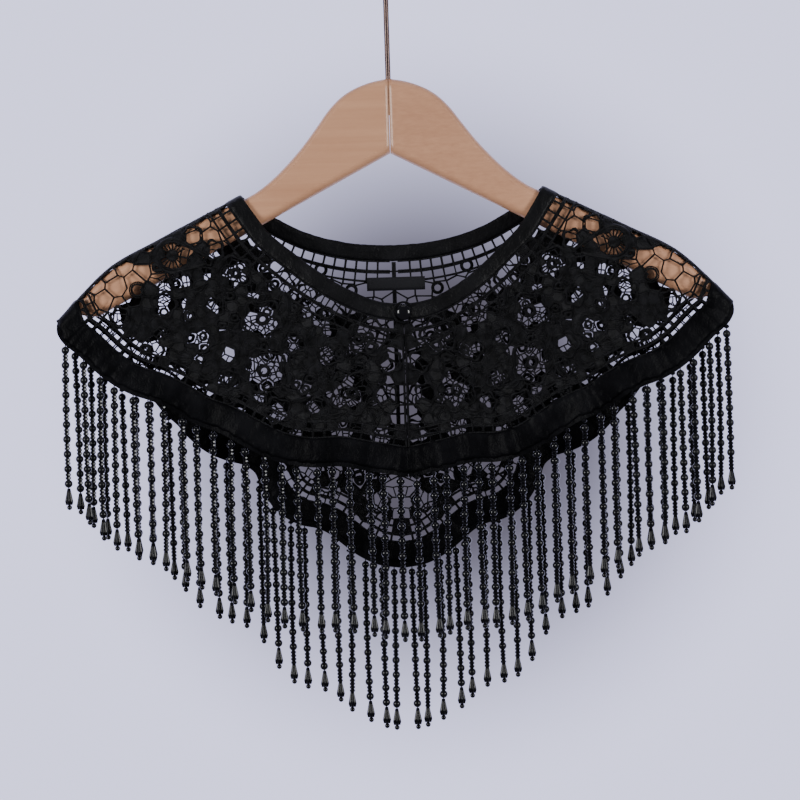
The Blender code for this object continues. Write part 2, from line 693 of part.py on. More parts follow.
def add_button():
    """A round button on the front neck ribbon, with a cord loop round it and a bare label inside the back."""
    centre = on_cloth("front", 0, down_cloth(0, 141), RIBBON_THICKNESS / 2)
    face_y = centre[1] - SEAM_GAP
    rings = ((0.0, 3.9), (0.9, 4.7), (2.2, 4.4), (3.3, 2.8))
    corners = 16
    points = [(centre[0], face_y, centre[2])]
    for depth, radius in rings:
        for angle in np.arange(corners) * 2 * math.pi / corners:
            points.append((centre[0] + radius * math.cos(angle), face_y - depth, centre[2] + radius * math.sin(angle)))
    points.append((centre[0], face_y - 3.8, centre[2]))
    faces = []
    for corner in range(corners):
        following = (corner + 1) % corners
        faces.append((0, 1 + corner, 1 + following))
        for ring in range(len(rings) - 1):
            a, b = 1 + ring * corners + corner, 1 + ring * corners + following
            faces.append((a, b, b + corners, a + corners))
        last = 1 + (len(rings) - 1) * corners
        faces.append((last + corner, last + following, len(points) - 1))
    add_node("button", points, faces, "beads")
    path = []
    for angle in np.radians(np.linspace(40, 320, 17)):
        path.append((centre[0] + 6.1 * math.cos(angle), face_y - 1.0, centre[2] + 6.1 * math.sin(angle)))
    points, faces = tube(path, 0.6, 6)
    add_node("button_loop", points, faces, "ribbon")


def add_label():
    """A bare woven label inside the back, below the neck ribbon."""
    across = np.linspace(-16.5, 18.5, 9)
    top = np.stack([across, down_cloth(across, 118.8 + 0 * across)], axis=1)
    bottom = np.stack([across, down_cloth(across, 126.8 + 0 * across)], axis=1)
    inward = LACE_THICKNESS / 2 + 0.4
    share = np.array([0.0, 1.0])[None, :, None]
    grid = (top[:, None] * (1 - share) + bottom[:, None] * share).reshape(-1, 2)
    triangles = []
    for station in range(len(across) - 1):
        corner = station * 2
        triangles.append([corner, corner + 1, corner + 3])
        triangles.append([corner, corner + 3, corner + 2])
    near = on_cloth("back", grid[:, 0], grid[:, 1], -inward)
    far = on_cloth("back", grid[:, 0], grid[:, 1], -inward - 0.7)
    points, faces = slab(near, far, triangles)
    add_node("neck_label", points, faces, "ribbon")


for old in list(bpy.data.objects):
    bpy.data.objects.remove(old)
add_hook()
add_hanger_half("hanger_left", -1)
add_hanger_half("hanger_right", 1)
add_fringes({side: make_cloth(side) for side in ("front", "back")})
add_button()
add_label()
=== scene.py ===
"""A black guipure lace cloud collar with a beaded fringe, laid over a wooden hanger."""
import math

import bmesh
import bpy
import numpy as np
from mathutils import Matrix, Vector
from mathutils.geometry import delaunay_2d_cdt


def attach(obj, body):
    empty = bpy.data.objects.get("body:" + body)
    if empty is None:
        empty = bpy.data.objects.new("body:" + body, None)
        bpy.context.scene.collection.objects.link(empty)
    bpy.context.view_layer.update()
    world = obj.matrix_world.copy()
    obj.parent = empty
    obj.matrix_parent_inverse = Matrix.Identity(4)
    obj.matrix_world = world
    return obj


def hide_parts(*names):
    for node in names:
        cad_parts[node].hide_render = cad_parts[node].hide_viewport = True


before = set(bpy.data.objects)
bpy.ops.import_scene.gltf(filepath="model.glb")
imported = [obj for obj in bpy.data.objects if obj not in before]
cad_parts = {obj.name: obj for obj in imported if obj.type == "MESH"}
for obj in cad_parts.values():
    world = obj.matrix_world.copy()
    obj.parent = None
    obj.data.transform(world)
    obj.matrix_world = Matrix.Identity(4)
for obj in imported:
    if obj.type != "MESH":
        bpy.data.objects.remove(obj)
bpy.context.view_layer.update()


# The studio: a pale wall far behind the hanger that glows by itself, with a shadow of the collar painted on
# it, a large soft light each side and a fill from above.
# The camera stands two metres off with a long lens, rolled a little because the hanger hangs askew.
CAMERA_DISTANCE = 2.0
FRAME_WIDTH = 0.480
SENSOR_WIDTH = 0.036
AIM = (0.0013, 0.0, -0.2930)
ROLL = math.radians(1.75)
WALL_PLACE = 3.2
WALL_HALF_WIDTH = 30
WALL_HALF_HEIGHT = 8
WALL_GLOW = 1.38
WALL_COLOUR = (0.70, 0.70, 1.0)
# A shadow is painted on the wall behind the collar, darkening both its colour and its glow: the painted
# shadow's colour there, the middle of the place and how far it reaches
WALL_PAINTED_SHADOW = (0.06, 0.055, 0.075)
PAINTED_SHADOW_MIDDLE = (0.045, WALL_PLACE, -0.31)
PAINTED_SHADOW_REACH = (0.17, 0.62)
LIGHT_AIM = (0, 0, -0.3)


class Signal:
    """One output of a shader node. Sums and products of it add their own Math nodes."""

    def __init__(self, tree, socket):
        self.tree = tree
        self.socket = socket

    def node(self, kind, settings, sockets, output=0):
        """A new node of this kind, with its settings made first, then its sockets set or linked."""
        made = self.tree.nodes.new(kind)
        for name, value in settings.items():
            setattr(made, name, value)
        for name, value in sockets.items():
            if isinstance(value, Signal):
                self.tree.links.new(value.socket, made.inputs[name])
            else:
                made.inputs[name].default_value = value
        return Signal(self.tree, made.outputs[output])

    def math(self, operation, first, second=0.0):
        return self.node("ShaderNodeMath", {"operation": operation}, {0: first, 1: second})

    def __add__(self, other):
        return self.math("ADD", self, other)

    __radd__ = __add__

    def __sub__(self, other):
        return self.math("SUBTRACT", self, other)

    def __mul__(self, other):
        return self.math("MULTIPLY", self, other)

    __rmul__ = __mul__

    def sine(self):
        return self.math("SINE", self)

    def mix(self, first, second):
        """A colour between the first, where this signal is 0, and the second, where it is 1."""
        return self.node("ShaderNodeMix", {"data_type": "RGBA"}, {0: self, 6: first, 7: second}, 2)


def material_start(name, **constants):
    """A new Principled material with its even values set, a first signal to build on, and its shader."""
    material = bpy.data.materials.new(name)
    material.use_nodes = True
    shader = material.node_tree.nodes["Principled BSDF"]
    for socket, value in constants.items():
        shader.inputs[socket.replace("_", " ")].default_value = value
    return material, Signal(material.node_tree, None), shader


def feed(signal, shader, socket):
    """Links a signal to one input of a shader."""
    signal.tree.links.new(signal.socket, shader.inputs[socket])


def bump(signal, height, strength, distance, shader):
    """A fine relief on the shader's normal."""
    sockets = {"Strength": strength, "Distance": distance, "Height": height}
    feed(signal.node("ShaderNodeBump", {}, sockets), shader, "Normal")


def object_place(signal, turn=0.0, stretch=(1.0, 1.0, 1.0)):
    """Object coordinates, turned about Y and then stretched."""
    place = signal.node("ShaderNodeTexCoord", {}, {}, 3)
    return signal.node(
        "ShaderNodeMapping", {}, {"Vector": place, "Rotation": (0.0, turn, 0.0), "Scale": stretch}
    )


def noise(signal, scale, detail, place=None, **more):
    """Noise over a place, or over the object's own coordinates where none is given."""
    place = object_place(signal) if place is None else place
    return signal.node("ShaderNodeTexNoise", {}, {"Vector": place, "Scale": scale, "Detail": detail, **more})


def soft_light(name, place, size, power):
    """A rectangular lamp, in metres and watts, turned to the middle of the collar."""
    light = bpy.data.lights.new(name, "AREA")
    light.shape = "RECTANGLE"
    light.size, light.size_y = size
    light.energy = power
    lamp = bpy.data.objects.new(name, light)
    lamp.location = place
    lamp.rotation_euler = (Vector(LIGHT_AIM) - Vector(place)).to_track_quat("-Z", "Y").to_euler()
    bpy.context.scene.collection.objects.link(lamp)


wall_mesh = bpy.data.meshes.new("studio_wall")
wall_corners = [
    (across * WALL_HALF_WIDTH, WALL_PLACE, up * WALL_HALF_HEIGHT)
    for across, up in ((-1, -1), (1, -1), (1, 1), (-1, 1))
]
wall_mesh.from_pydata(wall_corners, [], [(0, 1, 2, 3)])
studio_wall = bpy.data.objects.new("studio_wall", wall_mesh)
bpy.context.scene.collection.objects.link(studio_wall)
wall_paint, wall_signal, wall_shader = material_start(
    "wall_paint", Roughness=0.9, Emission_Strength=WALL_GLOW
)
# The painted shadow: the wall turns darker towards the middle of the place, in colour and in glow alike
wall_place = wall_signal.node("ShaderNodeTexCoord", {}, {}, 3)
painted_shadow_distance = wall_signal.node(
    "ShaderNodeVectorMath", {"operation": "DISTANCE"}, {0: wall_place, 1: PAINTED_SHADOW_MIDDLE}, 1
)
painted_shadow_fade = wall_signal.node(
    "ShaderNodeMapRange", {"interpolation_type": "SMOOTHSTEP"},
    {
        "Value": painted_shadow_distance, "From Min": PAINTED_SHADOW_REACH[0], "From Max": PAINTED_SHADOW_REACH[1],
        "To Min": 0.0, "To Max": 1.0,
    },
)
wall_colour_with_painted_shadow = painted_shadow_fade.mix((*WALL_PAINTED_SHADOW, 1), (*WALL_COLOUR, 1))
feed(wall_colour_with_painted_shadow, wall_shader, "Base Color")
feed(wall_colour_with_painted_shadow, wall_shader, "Emission Color")
wall_mesh.materials.append(wall_paint)

soft_light("key_left", (-1.72, -1.45, 0.05), (0.75, 0.9), 44)
soft_light("key_right", (1.66, -1.50, 0.0), (0.75, 0.9), 38)
soft_light("top_fill", (0.0, -0.9, 2.4), (1.6, 1.2), 8)
world = bpy.data.worlds.new("studio_air")
world.use_nodes = True
air = world.node_tree.nodes["Background"].inputs
air["Color"].default_value = (0.80, 0.81, 0.88, 1)
air["Strength"].default_value = 0.22
bpy.context.scene.world = world

camera_data = bpy.data.cameras.new("camera")
camera_data.sensor_width = SENSOR_WIDTH * 1000
camera_data.lens = SENSOR_WIDTH * 1000 * CAMERA_DISTANCE / FRAME_WIDTH
camera = bpy.data.objects.new("camera", camera_data)
upright = Matrix.Rotation(math.radians(90), 4, "X")
camera.matrix_world = (
    Matrix.Translation((AIM[0], AIM[1] - CAMERA_DISTANCE, AIM[2])) @ Matrix.Rotation(ROLL, 4, "Y") @ upright
)
bpy.context.scene.collection.objects.link(camera)
bpy.context.scene.camera = camera


# The hanger's two halves: light wood, shaped like one bent bar, glued at the middle and varnished.
# The left half shows long grain, and the right half, cut across another board, shows short flecks.
WOOD_TOP_Z = -100.0
ARM_HALF_THICKNESS = 5.5
HANGER_HALF_LENGTH = 192.0
FOLD_RADIUS = 7.6
WIRE_RADIUS = 1.6
ROUND_END = 178
WOOD_TOP = (
    (0, 0), (10.8, 2), (28, 10), (36, 17.7), (43, 27), (51.4, 38), (60, 47.7), (70.6, 58), (82, 66.5),
    (92, 71.5),
)
SHOULDER_RIDGE = (
    (0, 30), (30, 37.5), (60, 50.5), (90.4, 67.7), (117.5, 81.2), (141.5, 93.2), (171, 108.9),
    (187, 123.5), (202, 139.8),
)


def smooth_curve(points, step):
    """Points along a smooth line through the given ones, the given step apart."""
    points = np.array(points, float)
    lengths = np.concatenate([[0], np.cumsum(np.linalg.norm(np.diff(points, axis=0), axis=1))])
    slopes = np.gradient(points, lengths, axis=0)
    places = np.linspace(0, lengths[-1], max(2, int(round(lengths[-1] / step)) + 1))
    part = np.clip(np.searchsorted(lengths, places, side="right") - 1, 0, len(points) - 2)
    span = (lengths[part + 1] - lengths[part])[:, None]
    t = (places - lengths[part])[:, None] / span
    return (
        (2 * t**3 - 3 * t**2 + 1) * points[part]
        + (t**3 - 2 * t**2 + t) * span * slopes[part]
        + (3 * t**2 - 2 * t**3) * points[part + 1]
        + (t**3 - t**2) * span * slopes[part + 1]
    )


RIDGE_LINE = smooth_curve(SHOULDER_RIDGE, 2.0)


def ridge_depth(across):
    """Depth of the fold line over the hanger's arm."""
    return np.interp(np.abs(across), RIDGE_LINE[:, 0], RIDGE_LINE[:, 1])


def add_piece(name, points, faces, material, slot, nodes, along=None, smooth=True):
    """A finished piece from points in millimetres. It rides on the body and stands for its CAD nodes."""
    mesh = bpy.data.meshes.new(name)
    mesh.from_pydata((np.asarray(points) / 1000).tolist(), [], faces)
    shape = bmesh.new()
    shape.from_mesh(mesh)
    if along is None:
        bmesh.ops.recalc_face_normals(shape, faces=shape.faces)
    shape.to_mesh(mesh)
    shape.free()
    if along is not None:
        lengths = mesh.attributes.new("along", "FLOAT", "POINT")
        lengths.data.foreach_set("value", np.asarray(along, np.float32))
    if smooth:
        mesh.shade_smooth()
    mesh.materials.append(material)
    piece = bpy.data.objects.new(name, mesh)
    bpy.context.scene.collection.objects.link(piece)
    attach(piece, "root")
    if nodes:
        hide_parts(*nodes)
    return piece


def wood_material(name, turn, light, dark, grain, fleck):
    """Varnished wood with its grain along the arm. Grain and fleck say how strongly each marks it."""
    material, signal, shader = material_start(name, Roughness=0.42, Coat_Weight=0.25, Coat_Roughness=0.25)
    lines = noise(signal, 1.0, 5.0, object_place(signal, turn, (9, 60, 260)), Distortion=0.6)
    broad = noise(signal, 1.0, 2.0, object_place(signal, turn, (7, 20, 60)), Distortion=0.3)
    flecks = noise(signal, 1.0, 3.0, object_place(signal, turn, (160, 160, 520)), Roughness=0.7)
    share = (lines - 0.5) * grain + (flecks - 0.5) * fleck + (broad - 0.5) * 0.8 + 0.5
    feed(share.mix((*light, 1), (*dark, 1)), shader, "Base Color")
    bump(signal, lines + flecks * 0.5, 0.08, 0.0004, shader)
    return material


def tube_faces(rings, corners):
    """Faces of a closed tube of rings, with a flat face at each end."""
    faces = [tuple(range(corners))]
    for ring_number in range(rings - 1):
        for corner in range(corners):
            a = ring_number * corners + corner
            b = ring_number * corners + (corner + 1) % corners
            faces.append((a, b, b + corners, a + corners))
    faces.append(tuple((rings - 1) * corners + corner for corner in range(corners)))
    return faces


def hanger_half(turn):
    """Points and faces of one half: rings of a rounded bar, closer together at its rounded end."""
    end_length = HANGER_HALF_LENGTH - ROUND_END
    end_turns = np.linspace(0.12, math.pi / 2, 12)
    across = np.concatenate([np.linspace(0.15, ROUND_END, 70), ROUND_END + end_length * np.sin(end_turns)])
    points = []
    top_line = smooth_curve(WOOD_TOP, 1.0)
    for place in across:
        top = np.interp(place, *top_line.T)
        if place > WOOD_TOP[-1][0]:
            top = ridge_depth(place) + FOLD_RADIUS - ARM_HALF_THICKNESS
        bottom = 45 + 0.52 * min(place, ROUND_END)
        half = ARM_HALF_THICKNESS
        if place > ROUND_END:
            share = (place - ROUND_END) / end_length
            rest = math.sqrt(max(1 - share**2, 0.0))
            bottom = 133.5 + 4.0 * rest
            top = min(top, bottom - 3)
            half = ARM_HALF_THICKNESS * (0.45 + 0.55 * rest)
        corner = min(half, (bottom - top) / 2 - 0.2)
        for angle in np.radians(np.linspace(0, 180, 17)):
            height = WOOD_TOP_Z - top - corner * (1 - math.sin(angle))
            points.append((turn * place, half * math.cos(angle), height))
        for angle in np.radians(np.linspace(180, 360, 13)):
            height = WOOD_TOP_Z - bottom + corner * (1 + math.sin(angle))
            points.append((turn * place, half * math.cos(angle), height))
    return points, tube_faces(len(across), 17 + 13)


LEFT_WOOD = wood_material(
    "wood_long_grain", math.radians(-27.5), (0.58, 0.31, 0.18), (0.42, 0.20, 0.11), 0.9, 0.25
)
RIGHT_WOOD = wood_material(
    "wood_flecked", math.radians(27.5), (0.57, 0.30, 0.175), (0.39, 0.185, 0.105), 0.35, 1.1
)
for side_name, side_turn, side_wood in (("left", -1, LEFT_WOOD), ("right", 1, RIGHT_WOOD)):
    node_name = "hanger_" + side_name
    add_piece("hanger_wood_" + side_name, *hanger_half(side_turn), side_wood, "wood", [node_name])


# The wire: a dark bronzed steel stem screwed into the wood, bent to a round hook at its top.
# Its CAD solid has the right shape already, so a finer bar of the same run only rounds it off.
HOOK_RADIUS = 19.5
HOOK_BEND_RADIUS = 12.0
STEM_IN_WOOD = 22.0


def bar_along(path, radius, corners):
    """Points and faces of a round bar along a path in the hanger's plane."""
    path = np.array(path, float)
    along = np.gradient(path, axis=0)
    along /= np.linalg.norm(along, axis=1)[:, None]
    sideways = np.cross(along, (0.0, 1.0, 0.0))
    sideways /= np.linalg.norm(sideways, axis=1)[:, None]
    across = np.cross(sideways, along)
    radius = np.broadcast_to(radius, len(path))
    angles = np.arange(corners) * 2 * math.pi / corners
    points = []
    for centre, first, second, reach in zip(path, sideways, across, radius):
        points += [centre + reach * (math.cos(a) * first + math.sin(a) * second) for a in angles]
    return points, tube_faces(len(path), corners)


def hook_path():
    """The run of the wire: up the stem, round a small bend and over the hook."""
    centre_z = -(HOOK_RADIUS - WIRE_RADIUS)
    bend_z = centre_z - math.sqrt(HOOK_RADIUS**2 + 2 * HOOK_RADIUS * HOOK_BEND_RADIUS)
    path = [(0, 0, height) for height in np.linspace(WOOD_TOP_Z - STEM_IN_WOOD, bend_z, 12)]
    meet = math.atan2(bend_z - centre_z, HOOK_BEND_RADIUS)
    for turn in np.linspace(math.pi, math.pi + meet, 14)[1:-1]:
        across = HOOK_BEND_RADIUS * (1 + math.cos(turn))
        path.append((across, 0, bend_z + HOOK_BEND_RADIUS * math.sin(turn)))
    for turn in np.linspace(meet, math.radians(205), 64):
        path.append((HOOK_RADIUS * math.cos(turn), 0, centre_z + HOOK_RADIUS * math.sin(turn)))
    return path


WIRE_METAL, _, _ = material_start(
    "dark_wire", Base_Color=(0.075, 0.05, 0.045, 1), Metallic=0.85, Roughness=0.32
)
add_piece("hanger_wire", *bar_along(hook_path(), WIRE_RADIUS, 20), WIRE_METAL, "wire", ["hanger_hook"])


# The neck binding and the hem bands: black satin ribbon folded over the lace's edges and stitched down.
# The stitches draw it up into small puckers, and its two edges are soft folds.
SEAM_GAP = 0.3
RIBBON_THICKNESS = 2.2
NECK_RIBBON_WIDTH = 9.5
HEM_RIBBON_WIDTH = {"front": 14.5, "back": 12.5}
FLARE = {"front": 0.075, "back": 0.045}
CENTRE_SHIFT = 5.0
BLACKEST = (0.0012, 0.0012, 0.0018)
# How high the stitches raise the puckers
NECK_PUCKER = 0.16
HEM_PUCKER = 0.6
# The front's centre edges pass the centre line, so that no light shows between the halves
CENTRE_OVERLAP = -0.15
FRONT_NECK = ((90.4, 67.7), (83.5, 78.5), (74, 92), (62, 103), (50, 113.5), (30, 127), (14, 134), (0, 136))
BACK_NECK = ((90.4, 67.7), (83, 73.5), (68.5, 82.2), (53.4, 90), (35.6, 95.7), (17, 98.8), (0, 99.6))
SIDE_HEM = ((202, 139.8), (198, 149.5), (188, 158.6), (174, 172), (164, 179), (156, 183), (147, 186))
FRONT_HEM = SIDE_HEM + (
    (134, 192), (120, 201), (105, 207), (93, 214), (75, 224), (56, 228.5), (39, 228.5), (22, 232),
    (0, 236),
)
BACK_HEM = SIDE_HEM + (
    (138.6, 195.6), (131.6, 202), (124.4, 210.5), (114, 219), (104, 223.7), (92, 227.5), (86, 232),
    (81, 244), (73.8, 255), (61, 263.8), (50, 266.6), (43, 270), (36, 275.5), (27, 282.7), (14, 289.5),
    (0, 292),
)
NECK_PROFILE = {"front": FRONT_NECK, "back": BACK_NECK}
HEM_PROFILE = {"front": FRONT_HEM, "back": BACK_HEM}


def down_cloth(across, depth):
    """Length down the cloth, from a depth seen from the front: round the fold, then straight down."""
    below = np.maximum(depth - ridge_depth(across), 0)
    turn = np.arccos(np.clip(1 - below / FOLD_RADIUS, -1, 1))
    straight = below + FOLD_RADIUS * (math.pi / 2 - 1)
    return ridge_depth(across) + np.where(below < FOLD_RADIUS, FOLD_RADIUS * turn, straight)


def on_cloth(side, across, down, outward=0.0):
    """The point of the front or back cloth at a place given across and down the cloth, in millimetres."""
    across, down = np.broadcast_arrays(np.asarray(across, float), np.asarray(down, float))
    length = np.maximum(down - ridge_depth(across), 0)
    turn = np.minimum(length / FOLD_RADIUS, math.pi / 2)
    below = np.maximum(length - FOLD_RADIUS * math.pi / 2, 0)
    ripple = 1.5 * np.minimum(below / 120, 1) ** 2 * np.cos(across * 2 * math.pi / 47)
    away = (FOLD_RADIUS + outward) * np.sin(turn) + FLARE[side] * below + ripple
    away = np.maximum(away, SEAM_GAP / 2)
    drop = ridge_depth(across) + FOLD_RADIUS - (FOLD_RADIUS + outward) * np.cos(turn) + below
    shift = CENTRE_SHIFT * (1 - np.minimum(np.abs(across) / 100, 1) ** 2) ** 2 if side == "front" else 0
    facing = -1 if side == "front" else 1
    return np.stack([across + shift, facing * away, WOOD_TOP_Z - drop], axis=-1)


def spaced_on_cloth(side, line, step):
    """A finely drawn line of (across, down) places, thinned to steps of about one length on the cloth."""
    solid = on_cloth(side, line[:, 0], line[:, 1])
    lengths = np.concatenate([[0], np.cumsum(np.linalg.norm(np.diff(solid, axis=0), axis=1))])
    places = np.linspace(0, lengths[-1], int(round(lengths[-1] / step)) + 1)
    return np.stack([np.interp(places, lengths, line[:, axis]) for axis in (0, 1)], axis=1)


def edge_line(profile, side, step):
    """One half of a neck or hem edge in (across, down) places, from the ridge to the centre."""
    line = smooth_curve(profile, 0.4)
    line = np.stack([line[:, 0], down_cloth(line[:, 0], line[:, 1])], axis=1)
    line[0] = (profile[0][0], ridge_depth(profile[0][0]))
    line[-1, 0] = 0
    return spaced_on_cloth(side, line, step)


def mirrored(line):
    """The same line on the other half."""
    return line * [[-1, 1]]


def beside(line, width, towards_hem):
    """A line moved sideways by a width. Its ends stay on the ridge and on the centre line."""
    spread = 5
    before = np.repeat(line[:1], spread, 0)
    after = mirrored(line[-2 : -2 - spread : -1])
    padded = np.concatenate([before, line, after])
    kernel = np.hanning(2 * spread + 3)[1:-1]
    kernel /= kernel.sum()
    soft = np.stack([np.convolve(padded[:, axis], kernel, "valid") for axis in (0, 1)], axis=1)
    along = np.gradient(soft, axis=0)
    along /= np.linalg.norm(along, axis=1)[:, None]
    normal = np.stack([along[:, 1], -along[:, 0]], axis=1) * (1 if towards_hem else -1)
    moved = line + normal * width
    moved[-1] = (0, line[-1, 1] + (width if towards_hem else -width))
    moved[:, 1] = np.maximum(moved[:, 1], ridge_depth(moved[:, 0]))
    fade = np.clip(1 - np.arange(len(line)) / 4, 0, 1)[:, None] ** 1.5
    return moved + fade * (ridge_end(line[0], moved[0]) - moved[0])


def ridge_end(start, moved):
    """The place on the ridge line that is as far from the start as the moved place is."""
    span = np.linalg.norm(moved - start)
    way = 1 if moved[0] > start[0] else -1
    tries = start[0] + way * np.linspace(0, span, 200)
    gap = np.hypot(tries - start[0], ridge_depth(tries) - start[1])
    across = tries[np.argmin(np.abs(gap - span))]
    return np.array([across, ridge_depth(across)])


def slab_faces(stations, rows):
    """Faces of a closed slab: two sheets of stations and rows, joined along their edges."""
    count = stations * rows
    faces = []
    for station in range(stations - 1):
        start = station * rows
        for a in range(start, start + rows - 1):
            faces.append((a, a + 1, a + rows + 1, a + rows))
            faces.append((a + count, a + rows + count, a + rows + 1 + count, a + 1 + count))
        for a, b in ((start, start + rows), (start + 2 * rows - 1, start + rows - 1)):
            faces.append((a, b, b + count, a + count))
    for row in range(rows - 1):
        last = count - rows + row
        faces.append((row + 1, row, row + count, row + 1 + count))
        faces.append((last, last + 1, last + 1 + count, last + count))
    return faces


def ribbon_strip(side, first, second, pucker, number):
    """Points and faces of a ribbon between two lines of places, with its edges rounded."""
    rows = 11
    chance = np.random.default_rng(number)
    across = np.linspace(0, 1, rows)
    lengths = np.concatenate([[0], np.cumsum(np.linalg.norm(np.diff(first, axis=0), axis=1))])
    fold = np.zeros(len(first))
    place = 0.0
    while place < lengths[-1]:
        fold += chance.uniform(-1, 1) * np.exp(-(((lengths - place) / chance.uniform(1.1, 2.4)) ** 2))
        place += chance.uniform(1.8, 4.2)
    lean = chance.uniform(-1, 1, len(first))
    lean = np.convolve(lean, np.ones(7) / 7, "same")
    half = RIBBON_THICKNESS / 2 * (0.18 + 0.72 * (1 - (2 * across - 1) ** 4) ** 0.5)
    spread = 1 + 0.3 * pucker * np.abs(fold)
    reach = 0.5 + (across[None, :] - 0.5) * spread[:, None]
    grid = first[:, None] * (1 - reach)[:, :, None] + second[:, None] * reach[:, :, None]
    rise = pucker * fold[:, None] * (0.35 + 0.65 * np.abs(2 * across - 1)) + 0.35 * pucker * lean[:, None]
    flat = grid.reshape(-1, 2)
    outer = on_cloth(side, flat[:, 0], flat[:, 1], (half + rise).ravel())
    inner = on_cloth(side, flat[:, 0], flat[:, 1], (-half + rise).ravel())
    return np.concatenate([outer, inner]), slab_faces(len(first), rows)


def satin_material(name, shine):
    """Black satin: faint clouds of shade, fine ribs and small creases."""
    material, signal, shader = material_start(name, Roughness=0.46, Specular_IOR_Level=shine)
    shade = (noise(signal, 60.0, 4.0) - 0.4) * 3.5
    feed(shade.mix((*BLACKEST, 1), (0.0048, 0.0048, 0.006, 1)), shader, "Base Color")
    ribs = noise(signal, 900.0, 2.0)
    creases = noise(signal, 170.0, 3.0)
    bump(signal, ribs * 0.3 + creases, 0.6, 0.0013, shader)
    return material


def whole(half):
    """A half line from the ridge to the centre, carried on to the other ridge."""
    return np.concatenate([half, mirrored(half[-2::-1])])


BLACK_SATIN = satin_material("neck_satin", 0.13)
HEM_SATIN = satin_material("hem_satin", 0.045)
ribbons = {}
for side in ("front", "back"):
    neck_line = edge_line(NECK_PROFILE[side], side, 1.1)
    hem_line = edge_line(HEM_PROFILE[side], side, 1.1)
    spans = (
        ("neck_binding_", neck_line, beside(neck_line, NECK_RIBBON_WIDTH, True), NECK_PUCKER),
        ("hem_band_", hem_line, beside(hem_line, HEM_RIBBON_WIDTH[side], False), HEM_PUCKER),
    )
    for number, (stem, first, second, pucker) in enumerate(spans):
        if side == "back":
            ribbons[stem + "back"] = ribbon_strip(side, whole(first), whole(second), pucker, 31 + number)
            continue
        first[-1, 0] = second[-1, 0] = CENTRE_OVERLAP
        for end, turn in (("right", 1), ("left", -1)):
            ribbons[stem + "front_" + end] = ribbon_strip(
                side, first * [[turn, 1]], second * [[turn, 1]], pucker, 41 + number + turn
            )
RIBBON_PIECES = {}
for node_name, ribbon in ribbons.items():
    satin = BLACK_SATIN if "neck" in node_name else HEM_SATIN
    RIBBON_PIECES[node_name] = add_piece(node_name + "_satin", *ribbon, satin, "ribbon", [node_name])


# The lace: heavy guipure, embroidered on a backing that is dissolved away, so only thread is left.
# Cords and ladder rows run along its edges, thick rungs join its cells, and padded flowers, leaves and
# scrolls are stitched over them. The net's cells are those of the CAD walls, so the large gaps agree.
RIBBON_GAP = 0.6
# Open places in the net: (distance from the centre, depth, reach)
OPEN_PLACES = {
    "front": (
        (160, 118, 20), (178, 130, 14), (112, 86, 14), (4, 168, 9), (5, 186, 9), (4, 202, 8),
        (158, 156, 13), (173, 152, 9), (18, 157, 8), (97, 161, 8), (72, 199, 8), (40, 171, 7),
        (118, 140, 8), (128, 170, 7),
    ),
    "back": (
        (10, 125, 13), (36, 123, 13), (60, 113, 12), (150, 116, 20), (176, 130, 14), (120, 94, 13),
        (12, 262, 15), (38, 248, 13), (8, 240, 12), (58, 240, 11), (14, 278, 9), (20, 190, 11),
        (70, 176, 11), (105, 146, 11), (148, 158, 12), (58, 205, 9),
    ),
}
# The dense motif on each shoulder, between two open places: (distance from the centre, depth, reach)
SHOULDER_MOTIF = (134, 106, 17)
# Flowers of openwork in the dense ground: (distance from the centre, depth, reach, turn in degrees)
# The two panels share these, so that their small holes fall over each other
OPENWORK = (
    (95, 114, 10.5, 0), (80, 142, 12, 20), (44, 140, 14, 10), (21, 155, 11.5, 40), (80, 173, 13.5, 0),
    (150, 158, 10.5, 15), (118, 185, 9.5, 50), (31, 188, 13, 30), (57, 181, 7, 0), (9, 170, 7, 0),
    (101, 163, 8, 70), (117, 153, 8.5, 20), (73, 197, 8, 0), (10, 212, 8, 0), (50, 196, 6.5, 0),
    (138, 132, 8, 40), (108, 134, 6.5, 0), (34, 210, 8, 10), (93, 203, 7, 0), (62, 157, 6.5, 0),
    (60, 212, 7, 0), (133, 172, 8, 0), (68, 120, 8.5, 0), (171, 150, 7.5, 0), (110, 203, 6, 0),
    (12, 190, 7, 0), (84, 188, 5, 0), (42, 164, 7, 0), (120, 91, 6, 0), (107, 100, 6, 0),
    (153, 107, 5, 0), (127, 118, 6.5, 0), (141, 121, 5.5, 0), (164, 138, 6, 0), (99, 178, 6, 0),
    (20, 222, 6, 0), (76, 215, 5.5, 0), (145, 178, 5.5, 0), (52, 126, 6, 0), (86, 128, 5, 0),
    (126, 141, 5.5, 0),
)
# More of them, low on the back
BACK_OPENWORK = (
    (24, 236, 12, 0), (50, 255, 13, 0), (72, 243, 12, 0), (10, 230, 9, 0), (36, 268, 11, 0),
    (20, 282, 7, 0), (92, 224, 8, 0), (54, 232, 10, 0), (36, 250, 8, 0), (14, 252, 8, 0),
    (66, 258, 7, 0), (40, 232, 8, 0),
)
# How many more small places of openwork are spread evenly over the dense ground
SMALL_HOLES = 130
